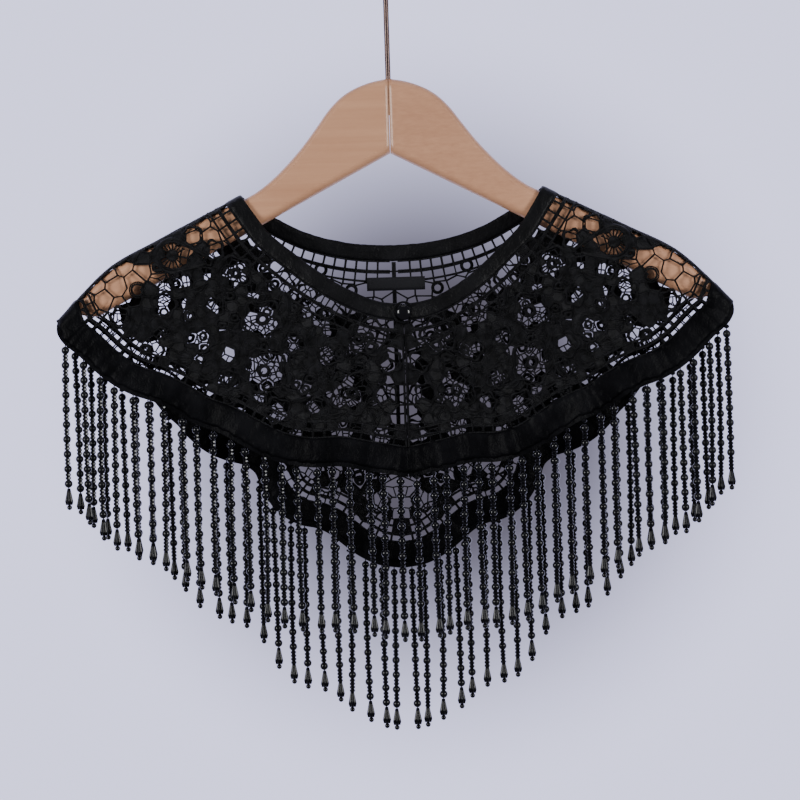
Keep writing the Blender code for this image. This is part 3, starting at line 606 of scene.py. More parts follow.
# Work stitched over the ground on one half: (kind, distance from the centre, depth, size, turn in degrees)
SHARED_MOTIFS = (
    ("ray_fan", 132, 102.5, 16, 350), ("ring", 153.5, 122.5, 4.6, 0), ("ring", 95, 114, 2.6, 0),
    ("ring", 80, 142, 3.2, 0), ("ring", 44, 140, 3.6, 0), ("ring", 21, 155, 3.0, 0),
    ("ring", 80, 173, 3.4, 0), ("ring", 150, 158, 3.0, 0), ("ring", 31, 188, 3.2, 0),
    ("ring", 118, 185, 2.6, 0), ("rose", 103, 126, 6.5, 0), ("rose", 62, 142, 6.5, 20),
    ("rose", 97, 150, 6.0, 10), ("rose", 135, 148, 7.0, 30), ("rose", 45, 178, 6.0, 0),
    ("rose", 100, 188, 6.5, 0), ("rose", 76, 216, 5.5, 20), ("rose", 34, 165, 5.5, 0),
    ("scroll", 60, 168, 6.5, 200), ("scroll", 27, 172, 6.0, 90), ("scroll", 66, 206, 5.5, 60),
    ("scroll", 22, 202, 5.5, 120), ("scroll", 112, 170, 6.5, 40), ("scroll", 122, 140, 5.5, 250),
    ("scroll", 150, 144, 5.0, 330), ("scroll", 80, 128, 5.5, 20), ("scroll", 87, 158, 5.0, 150),
    ("leaf", 66, 132, 12, 100), ("leaf", 68, 184, 12, 320), ("leaf", 98, 177, 12, 60),
    ("leaf", 14, 180, 10, 70), ("leaf", 118, 122, 12, 20), ("leaf", 86, 132, 10, 140),
    ("leaf", 86, 208, 12, 340), ("leaf", 41, 200, 12, 10), ("leaf", 160, 147, 10, 50),
    ("leaf", 146, 171, 10, 330), ("leaf", 30, 150, 10, 70), ("leaf", 46, 215, 12, 350),
    ("leaf", 128, 186, 11, 320), ("leaf", 22, 220, 12, 10), ("leaf", 53, 152, 9, 60),
    ("leaf", 127, 163, 10, 350), ("leaf", 104, 200, 10, 20), ("leaf", 90, 168, 9, 100),
    ("leaf", 59, 190, 9, 10),
)
BACK_MOTIFS = (
    ("ring", 25, 238, 3.2, 0), ("ring", 48, 258, 3.0, 0), ("leaf", 9, 262, 12, 70),
    ("leaf", 24, 254, 13, 130), ("leaf", 36, 240, 12, 60), ("leaf", 60, 246, 12, 40),
    ("scroll", 20, 262, 6.5, 200), ("scroll", 44, 244, 6.0, 20), ("leaf", 46, 270, 12, 320),
    ("leaf", 14, 244, 10, 90), ("leaf", 28, 280, 12, 30), ("ring", 44, 113, 3.6, 0),
    ("ring", 26, 126, 3.4, 0), ("leaf", 62, 108, 10, 330), ("leaf", 14, 136, 10, 10),
)
MOTIFS = {"front": SHARED_MOTIFS, "back": SHARED_MOTIFS + BACK_MOTIFS}
# Where the work is left open, with nothing but the net's rungs: (distance from the centre, depth, reach)
LEFT_OPEN = {
    "front": (
        (163, 116, 16), (176, 130, 12), (112, 86, 13), (4, 168, 8), (5, 186, 8), (4, 202, 7),
        (10, 150, 7), (163, 154, 8), (97, 163, 5),
    ),
    "back": (
        (10, 125, 14), (36, 123, 14), (60, 113, 13), (163, 116, 16), (176, 130, 12), (112, 88, 13),
        (12, 262, 11), (38, 248, 8), (8, 240, 9), (58, 240, 7), (14, 278, 9), (30, 270, 8),
        (4, 168, 10), (5, 186, 10), (4, 202, 9), (10, 150, 9), (163, 154, 9), (97, 163, 6),
        (80, 250, 8),
    ),
}
# Half width of the net's rungs by the size in mm2 of the larger cell beside them, and in the openwork
CELL_SIZES = (18, 30, 48, 66)
RUNG_WIDTHS = {"front": (0.95, 0.9, 0.8, 0.64), "back": (0.9, 0.85, 0.75, 0.62)}
FINE_RUNG = 0.52
# Cords beside the neck and hem ribbons: (distance from the ribbon, half width)
NECK_CORDS = ((0.25, 0.6), (5.9, 0.62), (7.1, 0.62), (12.4, 0.75))
HEM_CORDS = ((0.25, 0.6), (4.2, 0.55), (5.2, 0.55), (9.6, 0.8))
# Distances from the ribbons of the straight rows of cells, and the seeds of the net and of its fill
NECK_ROWS = (3.1, 9.4)
HEM_ROWS = (2.4, 7.0)
NET_SEED = {"front": 7, "back": 11}
FILL_SEED = {"front": 5, "back": 6}
# The share of the dense cells that hold an eyelet
EYELET_SHARE = 0.05


def nearest_on(line, places):
    """The nearest places on a line, and how far they are."""
    start = line[:-1][None]
    span = (line[1:] - line[:-1])[None]
    offset = places[:, None] - start
    share = np.clip((offset * span).sum(-1) / np.maximum((span**2).sum(-1), 1e-12), 0, 1)
    found = start + share[..., None] * span
    away = np.linalg.norm(found - places[:, None], axis=-1)
    pick = away.argmin(axis=1)
    rows = np.arange(len(places))
    return found[rows, pick], away[rows, pick]


def inside(outline, places):
    """Whether each place lies inside a closed outline."""
    start = outline[None]
    end = np.roll(outline, -1, axis=0)[None]
    across, down = places[:, None, 0], places[:, None, 1]
    crosses = (start[..., 1] > down) != (end[..., 1] > down)
    rise = np.where(end[..., 1] == start[..., 1], 1e-9, end[..., 1] - start[..., 1])
    at = start[..., 0] + (down - start[..., 1]) / rise * (end[..., 0] - start[..., 0])
    return (crosses & (across < at)).sum(axis=1) % 2 == 1


def cells_round(seeds, sides):
    """The cell round each seed: the places nearer to it than to any other seed or mirrored seed."""
    ghosts = []
    for side_line in sides:
        found, away = nearest_on(side_line, seeds)
        ghosts.append((2 * found - seeds)[(away < 16) & (away > 0.05)])
    everything = np.concatenate([seeds, *ghosts])
    result = delaunay_2d_cdt([Vector(place) for place in everything], [], [], 0, 1e-5)
    places, triangles, source = result[0], result[2], result[3]
    around = {}
    for triangle in triangles:
        a, b, c = (places[corner] for corner in triangle)
        twice = 2 * ((b - a).cross(c - a))
        if abs(twice) < 1e-6:
            continue
        first, second = (b - a).length_squared, (c - a).length_squared
        centre = a + Vector(
            (
                ((c.y - a.y) * first - (b.y - a.y) * second) / twice,
                ((b.x - a.x) * second - (c.x - a.x) * first) / twice,
            )
        )
        for corner in triangle:
            for seed in source[corner]:
                around.setdefault(seed, []).append(centre)
    cells = []
    for index, seed in enumerate(seeds):
        corners = np.array([tuple(corner) for corner in around.get(index, [])]).reshape(-1, 2)
        order = np.argsort(np.arctan2(corners[:, 1] - seed[1], corners[:, 0] - seed[0]))
        cells.append(corners[order])
    return cells


def area_and_middle(cell):
    """A cell's signed area and its centroid."""
    following = np.roll(cell, -1, axis=0)
    cross = cell[:, 0] * following[:, 1] - following[:, 0] * cell[:, 1]
    area = cross.sum() / 2
    if abs(area) < 1e-6:
        return 0.0, cell.mean(axis=0)
    return area, ((cell + following) * cross[:, None]).sum(axis=0) / (6 * area)


def net_seeds(side, outline, fixed, chance):
    """Scattered seed points inside an outline, after the fixed ones."""
    low, high = outline.min(axis=0), outline.max(axis=0)
    tries = low + chance.random((9000, 2)) * (high - low)
    tries = tries[inside(outline, tries)]
    _, away = nearest_on(np.concatenate([outline, outline[:1]]), tries)
    wanted = net_spacing(side, tries[:, 0], tries[:, 1])
    kept = [tuple(place) for place in fixed]
    for place, need in zip(tries[away > 0.42 * wanted], wanted[away > 0.42 * wanted]):
        if np.min(np.hypot(*(np.array(kept) - place).T)) > need:
            kept.append(tuple(place))
    return np.array(kept)


def lace_cells(side, sides, rows, number):
    """Every cell of half a panel. Its sides run from the neck by the ridge and the hem to the centre."""
    outline = np.concatenate([side_line[:-1] for side_line in sides])
    fixed = np.concatenate(rows)
    seeds = net_seeds(side, outline, fixed, np.random.default_rng(number))
    for _ in range(3):
        cells = cells_round(seeds, sides)
        middles = np.array([area_and_middle(cell)[1] for cell in cells])
        moved = inside(outline, middles)
        moved[: len(fixed)] = False
        seeds[moved] = middles[moved]
    return outline, cells_round(seeds, sides)


def net_spacing(side, across, down):
    """How far apart the net's seed points are: wide at its open places, close between them."""
    wide = np.zeros(np.shape(across))
    for place, depth, reach in OPEN_PLACES[side]:
        away = np.hypot(across - place, down - down_cloth(place, depth))
        wide = np.maximum(wide, np.exp(-((away / reach) ** 4)))
    place, depth, reach = SHOULDER_MOTIF
    away = np.hypot(across - place, down - down_cloth(place, depth))
    wide = wide * (1 - np.exp(-((away / reach) ** 4)))
    return 4.7 + (4.9 if side == "front" else 4.4) * wide


class Embroidery:
    """Thread laid on the cloth, in places on it. Each stroke is a closed bar with a flat oval section."""

    def __init__(self, outline=None):
        self.outline = outline
        self.places = []
        self.heights = []
        self.lengths = []
        self.faces = []
        self.count = 0

    def stroke(self, path, half_width, height=None, lift=0.0, closed=False, sides=6):
        """One thread along a path. It is left out where it would pass the lace's outline."""
        path = np.asarray(path, float)
        if self.outline is not None and not inside(self.outline, path).all():
            return
        count = len(path)
        half_width = np.broadcast_to(np.asarray(half_width, float), count)
        height = half_width if height is None else np.broadcast_to(np.asarray(height, float), count)
        if closed:
            along = np.roll(path, -1, axis=0) - np.roll(path, 1, axis=0)
        else:
            along = np.gradient(path, axis=0)
        along = along / np.maximum(np.linalg.norm(along, axis=1), 1e-9)[:, None]
        normal = np.stack([along[:, 1], -along[:, 0]], axis=1)
        angles = (np.arange(sides) + 0.5) * 2 * math.pi / sides
        reach = half_width[:, None] * np.cos(angles)
        self.places.append((path[:, None] + normal[:, None] * reach[..., None]).reshape(-1, 2))
        self.heights.append((lift + height[:, None] * np.sin(angles)).ravel())
        steps = np.linalg.norm(np.diff(path, axis=0), axis=1)
        self.lengths.append(np.repeat(np.concatenate([[0], np.cumsum(steps)]), sides))
        start = self.count
        for ring in range(count if closed else count - 1):
            one = start + ring * sides
            two = start + (ring + 1) % count * sides
            for corner in range(sides):
                following = (corner + 1) % sides
                self.faces.append((one + corner, one + following, two + following, two + corner))
        if not closed:
            self.faces.append(tuple(range(start + sides - 1, start - 1, -1)))
            last = start + (count - 1) * sides
            self.faces.append(tuple(range(last, last + sides)))
        self.count += count * sides

    def pad(self, cell, rise):
        """One cell filled with satin stitch: a closed patch that swells on both faces of the cloth."""
        area, middle = area_and_middle(cell)
        cell = cell if area > 0 else cell[::-1]
        offset = cell - middle
        thread_way = np.linalg.eigh(offset.T @ offset)[1][:, 1]
        outer = middle + offset * (1 + 0.2 / math.sqrt(abs(area)))
        inner = middle + offset * 0.64
        count = len(cell)
        flat = np.concatenate([outer, inner, inner, [middle, middle]])
        self.places.append(flat)
        rises = np.repeat([0.1, rise * 0.85, -rise * 0.5], count)
        self.heights.append(np.concatenate([rises, [rise, -rise * 0.6]]))
        self.lengths.append((flat - middle) @ thread_way)
        start = self.count
        for corner in range(count):
            following = (corner + 1) % count
            edge, next_edge = start + corner, start + following
            self.faces.append((edge, edge + count, next_edge + count, next_edge))
            self.faces.append((edge + count, start + 3 * count, next_edge + count))
            self.faces.append((edge, next_edge, next_edge + 2 * count, edge + 2 * count))
            self.faces.append((edge + 2 * count, next_edge + 2 * count, start + 3 * count + 1))
        self.count += 3 * count + 2

    def half(self):
        """All places, heights off the cloth and lengths along the thread."""
        return np.concatenate(self.places), np.concatenate(self.heights), np.concatenate(self.lengths)


def cloth_place(across, depth):
    """A place on the cloth from a depth seen from the front."""
    return across, float(down_cloth(across, depth))


def within_any(middle, rounds):
    """Whether a place lies within one of the rounds: (across, down, reach)."""
    return any(math.hypot(middle[0] - x, middle[1] - y) < reach for x, y, reach in rounds)


def placed(points, centre, turn):
    """Points of a motif turned and moved to its place."""
    angle = math.radians(turn)
    points = np.asarray(points, float)
    across = points[:, 0] * math.cos(angle) - points[:, 1] * math.sin(angle)
    down = points[:, 0] * math.sin(angle) + points[:, 1] * math.cos(angle)
    return np.stack([across + centre[0], down + centre[1]], axis=1)


def circle(radius, count):
    """Places round a circle about the origin."""
    angles = np.linspace(0.0, 2 * math.pi, count, endpoint=False)
    return np.stack([radius * np.cos(angles), radius * np.sin(angles)], axis=1)


def swelling(count, most):
    """Half widths along a padded petal or leaf: narrow at its ends and full in the middle."""
    least = 0.12
    return least + (most - least) * np.sin(np.linspace(0.06, math.pi - 0.06, count)) ** 0.65


def ring(work, centre, size, turn):
    """A stitched eyelet with a second cord round it."""
    work.stroke(placed(circle(size * 0.78, 16), centre, turn), 0.75, 0.95, closed=True)
    work.stroke(placed(circle(size * 1.05, 18), centre, turn), 0.45, 0.6, closed=True, sides=5)


def rose(work, centre, size, turn):
    """A full flower: a ringed eye, a round of padded petals, and a wider round of padded petals behind."""
    work.stroke(placed(circle(size * 0.2, 12), centre, turn), size * 0.085, 1.2, closed=True)
    for round_of, inner, outer, count, most in ((0, 0.28, 0.66, 6, 0.155), (1, 0.62, 1.0, 9, 0.165)):
        for petal in range(count):
            angle = 2 * math.pi * (petal + 0.5 * round_of) / count
            radii = np.linspace(inner, outer, 6) * size
            bend = angle + np.linspace(-0.10, 0.10, 6)
            path = np.stack([radii * np.cos(bend), radii * np.sin(bend)], axis=1)
            height = swelling(6, 1.25 - 0.2 * round_of)
            work.stroke(placed(path, centre, turn), swelling(6, size * most), height)
    work.stroke(placed(circle(size * 0.61, 18), centre, turn), 0.42, 0.7, closed=True, sides=5)


def leaf(work, centre, size, turn):
    """A padded leaf in two halves, with a raised rib between them and a curve to one side."""
    share = np.linspace(0, 1, 9)
    along = (share - 0.5) * size
    bow = 0.12 * size * np.sin(share * math.pi)
    width = 0.15 * size * np.sin(share * math.pi) ** 0.8
    for way in (-1, 1):
        path = np.stack([along, bow + way * width * 0.62], axis=1)
        height = 0.25 + 0.9 * np.sin(share * math.pi) ** 0.6
        work.stroke(placed(path, centre, turn), 0.12 + width * 0.62, height)
    path = np.stack([along * 1.12, bow], axis=1)
    work.stroke(placed(path, centre, turn), 0.34, 0.5, lift=0.75, sides=5)


def scroll(work, centre, size, turn):
    """A curling band: two cords with rungs between them, ending in a padded knob."""
    angles = np.linspace(0, 1.55 * math.pi, 22)
    radius = size * (1 - 0.62 * angles / angles[-1])
    width = 1.75 - 0.7 * angles / angles[-1]
    for way in (-1, 1):
        reach = radius + way * width
        path = np.stack([reach * np.cos(angles), reach * np.sin(angles)], axis=1)
        work.stroke(placed(path, centre, turn), 0.62, 0.95)
    for rung in range(1, 21, 2):
        reach = np.array([radius[rung] - width[rung], radius[rung] + width[rung]])
        path = reach[:, None] * [[math.cos(angles[rung]), math.sin(angles[rung])]]
        work.stroke(placed(path, centre, turn), 0.42, 0.6, sides=5)
    knob = radius[-1] * np.array([math.cos(angles[-1]), math.sin(angles[-1])])
    path = placed(placed(circle(size * 0.12, 8), knob, 0), centre, turn)
    work.stroke(path, size * 0.12, 1.1, closed=True)


def ray_fan(work, centre, size, turn):
    """A teardrop: a solid eye, rays from it to a padded outer cord, and a tail between two cords."""
    work.stroke(placed(circle(size * 0.13, 12), centre, turn), size * 0.13, 1.1, closed=True)
    tail = [[-1.30 * size, 0.10 * size], [-0.80 * size, 0.30 * size], [-0.30 * size, 0.46 * size]]
    share = np.linspace(0.62 * math.pi, -0.62 * math.pi, 24)
    for reach, thick in ((0.52, 0.75), (0.63, 1.35)):
        head = np.stack([reach * size * np.cos(share), reach * size * np.sin(share)], axis=1)
        outer = np.array(tail) * [1, reach / 0.52]
        path = np.concatenate([outer, head, (outer * [1, -1])[::-1]])
        work.stroke(placed(path, centre, turn), thick, min(thick, 1.05))
    for ray in np.linspace(-0.80 * math.pi, 0.80 * math.pi, 15):
        reach = np.linspace(0.24, 0.52, 3) * size
        path = np.stack([reach * math.cos(ray), reach * math.sin(ray)], axis=1)
        work.stroke(placed(path, centre, turn), 0.48, 0.7, sides=5)
    for place in (-0.62, -0.34):
        path = [[place * size, -0.34 * size], [(place + 0.05) * size, 0.0], [place * size, 0.34 * size]]
        work.stroke(placed(path, centre, turn), 0.55, 0.7)
    path = [[-1.2 * size, 0], [-0.6 * size, 0.02 * size], [-0.2 * size, 0]]
    work.stroke(placed(path, centre, turn), 0.6, 0.8)


# How much of its size each round motif keeps clear of the net's own rungs
COVERS = {"ring": 0.75, "ray_fan": 0.62}
MAKERS = {"ring": ring, "rose": rose, "leaf": leaf, "scroll": scroll, "ray_fan": ray_fan}


def openwork(side):
    """The openwork flowers of one panel, as places on its cloth: across, down, reach and turn."""
    steps = np.arange(SMALL_HOLES)
    across_steps = 10 + 175 * (steps * 0.7549 % 1)
    depth_steps = 92 + 136 * (steps * 0.5698 % 1)
    rows = OPENWORK + tuple(
        (across, depth, reach, 0)
        for across, depth, reach in zip(across_steps, depth_steps, 2.0 + 1.8 * (steps * 0.31 % 1))
    )
    rows += () if side == "front" else BACK_OPENWORK
    shift, more_turn = (0.0, 0) if side == "front" else (0.8, 25)
    return [
        (across + shift, float(down_cloth(across, depth)) + shift, reach * 0.92, turn + more_turn)
        for across, depth, reach, turn in rows
    ]


def within_flowers(flowers, places):
    """Whether each place is inside one of the flowers, whose edges swing in and out in five lobes."""
    found = np.zeros(len(places), bool)
    for across, down, reach, turn in flowers:
        offset = places - (across, down)
        lobes = np.cos(5 * (np.arctan2(offset[:, 1], offset[:, 0]) - math.radians(turn)))
        found |= np.linalg.norm(offset, axis=1) < reach * (0.92 + 0.12 * lobes)
    return found


def net_rungs(work, side, outline, cells, chance):
    """The thick threads between the cells: thin round the open gaps, heavy where the work is dense."""
    closed_line = np.concatenate([outline, outline[:1]])
    edges = {}
    for number, cell in enumerate(cells):
        for start, end in zip(cell, np.roll(cell, -1, axis=0)):
            key = tuple(sorted((tuple(np.round(start, 2)), tuple(np.round(end, 2)))))
            edges.setdefault(key, (start, end, []))[2].append(number)
    areas = np.array([abs(area_and_middle(cell)[0]) for cell in cells])
    ends = np.array([(start, end) for start, end, _ in edges.values()])
    kept = inside(outline, ends.mean(axis=1))
    near = nearest_on(closed_line, ends.mean(axis=1))[1]
    for kind, across, depth, size, _ in MOTIFS[side]:
        if kind in COVERS:
            away = np.linalg.norm(ends.mean(axis=1) - cloth_place(across, depth), axis=1)
            kept &= away > COVERS[kind] * size
    is_fine = within_flowers(openwork(side), ends.mean(axis=1))
    for (start, end, owners), keep, away, fine in zip(edges.values(), kept, near, is_fine):
        length = np.linalg.norm(end - start)
        if not keep or length < 0.35 or length > 22 or away < 0.25:
            continue
        half = float(np.interp(areas[owners].max(), CELL_SIZES, RUNG_WIDTHS[side]))
        half *= chance.uniform(0.9, 1.1)
        half = min(half, FINE_RUNG) if fine else half
        reach = 4 if start[1] - ridge_depth(start[0]) < 12 and length > 4 else 3
        share = np.linspace(-0.05, 1.05, reach)[:, None]
        path = start + (end - start) * share
        thick = np.full(reach, half)
        thick[1:-1] *= 0.86
        work.stroke(path, thick, np.minimum(thick * 0.95, 0.7))


def eyelet(work, cell, middle, area, hole):
    """A padded ring just inside a cell, which leaves a small round hole."""
    size = math.sqrt(area / math.pi)
    reach = max((size - 0.8 - hole) / 2, 0.45)
    cut = cell
    for _ in range(2 if len(cell) < 6 else 1):
        after = np.roll(cut, -1, axis=0)
        cut = np.stack([0.75 * cut + 0.25 * after, 0.25 * cut + 0.75 * after], axis=1).reshape(-1, 2)
    work.stroke(middle + (cut - middle) * (hole + reach) / size, reach, min(reach, 0.95), closed=True)


def spokes(work, cell, middle, count, first):
    """Fine threads from a cell's middle to some of its sides, which part it into smaller holes."""
    half_way = (cell + np.roll(cell, -1, axis=0)) / 2
    for number in range(count):
        foot = half_way[(first + number * len(cell) // count) % len(cell)]
        work.stroke([middle, (middle + foot) / 2 + (0.15, -0.15), foot], 0.42, 0.4, sides=5)


def fill_cells(work, side, cells, rows, chance):
    """Satin stitch over the cells outside the open places, and eyelets and spokes in the openwork."""
    flowers = openwork(side)
    motifs = [
        (*cloth_place(across, depth), COVERS[kind] * size * 0.9)
        for kind, across, depth, size, _ in MOTIFS[side] if kind in COVERS
    ]
    left_open = [(*cloth_place(across, depth), reach) for across, depth, reach in LEFT_OPEN[side]]
    for cell in cells:
        area, middle = area_and_middle(cell)
        area = abs(area)
        if area < 3 or within_any(middle, motifs):
            continue
        if area > 22 and within_any(middle, left_open):
            if side == "back" and area > 45 and middle[1] > 200 and middle[0] < 60:
                spokes(work, cell, middle, 3, int(area))
            continue
        if area > 15 and np.linalg.norm(rows - middle, axis=1).min() < 3.5:
            continue
        if within_flowers(flowers, middle[None])[0]:
            choice = chance.random()
            if area > 9 and choice < 0.18:
                eyelet(work, cell, middle, area, chance.uniform(0.9, 1.5))
            elif area > 10 and choice < 0.85:
                spokes(work, cell, middle, 2 if area < 18 else 3, int(choice * 50))
            continue
        if chance.random() < EYELET_SHARE:
            eyelet(work, cell, middle, area, chance.uniform(0.5, 0.9))
            continue
        work.pad(cell, chance.uniform(0.3, 0.75))


def edge_cords(work, side, neck, hem, ridge_line, centre):
    """The cords that finish the lace's edges and fence its ladder rows."""
    width = HEM_RIBBON_WIDTH[side]
    for offset, half in NECK_CORDS:
        work.stroke(beside(neck, NECK_RIBBON_WIDTH + offset, True)[1:-1], half, 0.85)
    for offset, half in HEM_CORDS:
        work.stroke(beside(hem, width + offset, False)[1:-1], half, 0.85)
    for start in np.linspace(ridge_line[0, 0], ridge_line[-1, 0], 92):
        top = (start, float(ridge_depth(start)) + 0.3)
        foot = 5.6 + 0.9 * math.sin(start * 0.55) + 0.5 * math.sin(start * 1.7)
        work.stroke([top, (start + 0.4, top[1] + foot * 0.5), (start + 0.8, top[1] + foot)], 0.78, 0.55)
    work.stroke(centre + [[0.70 if side == "front" else 0.55, 0]], 0.8, 0.95)


def half_lace(side):
    """Half a panel's ground, and the work stitched over it."""
    neck = edge_line(NECK_PROFILE[side], side, 4.2)
    hem = edge_line(HEM_PROFILE[side], side, 4.6)
    width = HEM_RIBBON_WIDTH[side]
    lace_top = beside(neck, NECK_RIBBON_WIDTH + RIBBON_GAP, True)
    lace_bottom = beside(hem, width + RIBBON_GAP, False)
    ridge_line = np.linspace(lace_top[0, 0], lace_bottom[0, 0], 22)
    ridge_line = np.stack([ridge_line, ridge_depth(ridge_line)], axis=1)
    middle = SEAM_GAP / 2 if side == "front" else 0.0
    lace_top[-1, 0] = lace_bottom[-1, 0] = middle
    centre = np.stack([np.full(9, middle), np.linspace(lace_bottom[-1, 1], lace_top[-1, 1], 9)], axis=1)
    sides = [lace_top[::-1], ridge_line, lace_bottom, centre]
    ladder = spaced_on_cloth(side, neck, 6.0)
    rows = [beside(ladder, NECK_RIBBON_WIDTH + offset, True)[1:-1] for offset in NECK_ROWS]
    slots = spaced_on_cloth(side, hem, 6.4)
    rows += [beside(slots, width + offset, False)[1:-1] for offset in HEM_ROWS]
    outline, cells = lace_cells(side, sides, rows, NET_SEED[side])
    chance = np.random.default_rng(FILL_SEED[side])
    ground = Embroidery()
    fine_neck = edge_line(NECK_PROFILE[side], side, 2.2)
    fine_hem = edge_line(HEM_PROFILE[side], side, 2.2)
    edge_cords(ground, side, fine_neck, fine_hem, ridge_line, centre)
    net_rungs(ground, side, outline, cells, chance)
    fill_cells(ground, side, cells, np.concatenate(rows[:3]), chance)
    above_ridge = [(ridge_line[0, 0], -40), (ridge_line[-1, 0], -40)]
    hem_and_neck = np.concatenate([lace_top[::-1], above_ridge, lace_bottom])
    over = Embroidery(hem_and_neck)
    for across, down, reach, turn in openwork(side):
        if reach < 5.4:
            continue
        angles = np.linspace(0, 2 * math.pi, 30, endpoint=False)
        lobes = np.cos(5 * (angles - math.radians(turn)))
        line = circle(1.0, 30) * (reach * (1.0 + 0.12 * lobes))[:, None] + (across, down)
        if inside(outline, line).all():
            over.stroke(line, 0.85 + 0.35 * lobes, 0.9, lift=0.25, closed=True)
    for kind, across, depth, size, turn in MOTIFS[side]:
        MAKERS[kind](over, cloth_place(across, depth), size, turn)
    return ground, over


def lace_material():
    """Matt black thread: fine turns of thread along each stroke, over soft clumps."""
    material, signal, shader = material_start("black_guipure", Roughness=0.55, Specular_IOR_Level=0.16)
    along = signal.node("ShaderNodeAttribute", {"attribute_name": "along"}, {}, 2)
    wobble = noise(signal, 700.0, 2.0)
    clumps = noise(signal, 260.0, 4.0)
    threads = (along * (2 * math.pi / 0.62) + wobble * 3.0).sine()
    shade = (clumps - 0.36) * 3.4
    feed(shade.mix((*BLACKEST, 1), (0.0085, 0.0085, 0.0105, 1)), shader, "Base Color")
    bump(signal, threads * 0.35 + wobble + clumps * 2.2, 0.75, 0.0006, shader)
    return material


BLACK_GUIPURE = lace_material()
LACE_PIECES = {}
for side in ("front", "back"):
    for layer, work in zip(("guipure", "motifs"), half_lace(side)):
        flat, heights, lengths = work.half()
        for end, way in (("right", 1), ("left", -1)):
            lace_points = on_cloth(side, way * flat[:, 0], flat[:, 1], heights)
            inside_out = (side == "back") != (end == "left")
            faces = [face[::-1] for face in work.faces] if inside_out else work.faces
            nodes = ["lace_back" if side == "back" else "lace_front_" + end]
            name = f"lace_{side}_{end}_{layer}"
            LACE_PIECES[name] = add_piece(name, lace_points, faces, BLACK_GUIPURE, "lace", nodes, lengths)


# The fringe: strings of glossy black beads, a large round one and two small barrel beads by turns, hung
# close together from a narrow tape under the hem band. Each ends in a drop bead and a small round bead.
STRAND_LENGTH = 100.0
STRIP_HEIGHT = 2.4
STRIP_GAP = 1.0
STRAND_PITCH = {"front": 9.6, "back": 9.02}
STRANDS_A_SIDE = {"front": 21, "back": 22}
# Sizes of the beads, as a diameter or as (width, length)
BIG_BEAD = 4.95
SMALL_BEAD = (3.6, 2.05)
DROP_BEAD = (5.8, 9.9)
END_BEAD = 3.2
# What each point of a string holds
ROUND, SMALL, DROP, LAST = range(4)


def strand_places(side):
    """Where each strand hangs across one half, and how far its tip drifts."""
    number = np.arange(STRANDS_A_SIDE[side])
    phase = 0.0 if side == "front" else 1.7
    places = STRAND_PITCH[side] * (number + 0.5) + 0.9 * np.sin(number * 2.3 + phase)
    return places, 1.1 * np.sin(number * 1.9 + phase)


def strand_roots(side):
    """The top of each string on one half: distance from the centre, length down the cloth and drift."""
    hem = spaced_on_cloth(side, edge_line(HEM_PROFILE[side], side, 4.6), 0.5)
    low = beside(hem, STRIP_GAP + STRIP_HEIGHT / 2, True)
    order = np.argsort(low[:, 0])
    places, drifts = strand_places(side)
    keep = places <= low[:, 0].max() - 4
    places, drifts = places[keep], drifts[keep]
    return places, np.interp(places, low[order, 0], low[order, 1]), drifts


def bead_points(side, turn, chance):
    """Where every bead of one half's strings sits, in millimetres, its kind, and each string's thread."""
    points, kinds, threads = [], [], []
    for across, down, drift in zip(*strand_roots(side)):
        root = on_cloth(side, turn * across, down)
        tip = root + np.array([turn * drift, 0.0, -STRAND_LENGTH])
        bow = np.array([chance.uniform(-0.7, 0.7), chance.uniform(-0.5, 0.5), 0.0])

        def at(fall):
            share = fall / STRAND_LENGTH
            return root + (tip - root) * share + bow * math.sin(share * math.pi)

        fall = 1.6
        first = chance.uniform(0.0, 3.0)
        while first > SMALL_BEAD[1]:
            points.append(at(fall))
            kinds.append(SMALL)
            fall += SMALL_BEAD[1]
            first -= SMALL_BEAD[1]
        last = STRAND_LENGTH - DROP_BEAD[1] - END_BEAD - 0.5
        while fall < last:
            for size, kind in ((BIG_BEAD * 0.96, ROUND), (SMALL_BEAD[1], SMALL), (SMALL_BEAD[1], SMALL)):
                if fall + size > last + 0.8:
                    size, kind = SMALL_BEAD[1], SMALL
                if fall + size * 0.4 > last:
                    fall = last
                    break
                points.append(at(fall + size / 2))
                kinds.append(kind)
                fall += size
        points.append(at(last + DROP_BEAD[1] / 2))
        kinds.append(DROP)
        points.append(at(last + DROP_BEAD[1] + END_BEAD * 0.48))
        kinds.append(LAST)
        threads.append(np.array([at(stop) for stop in np.linspace(-0.6, last + DROP_BEAD[1], 9)]))
    return points, kinds, threads


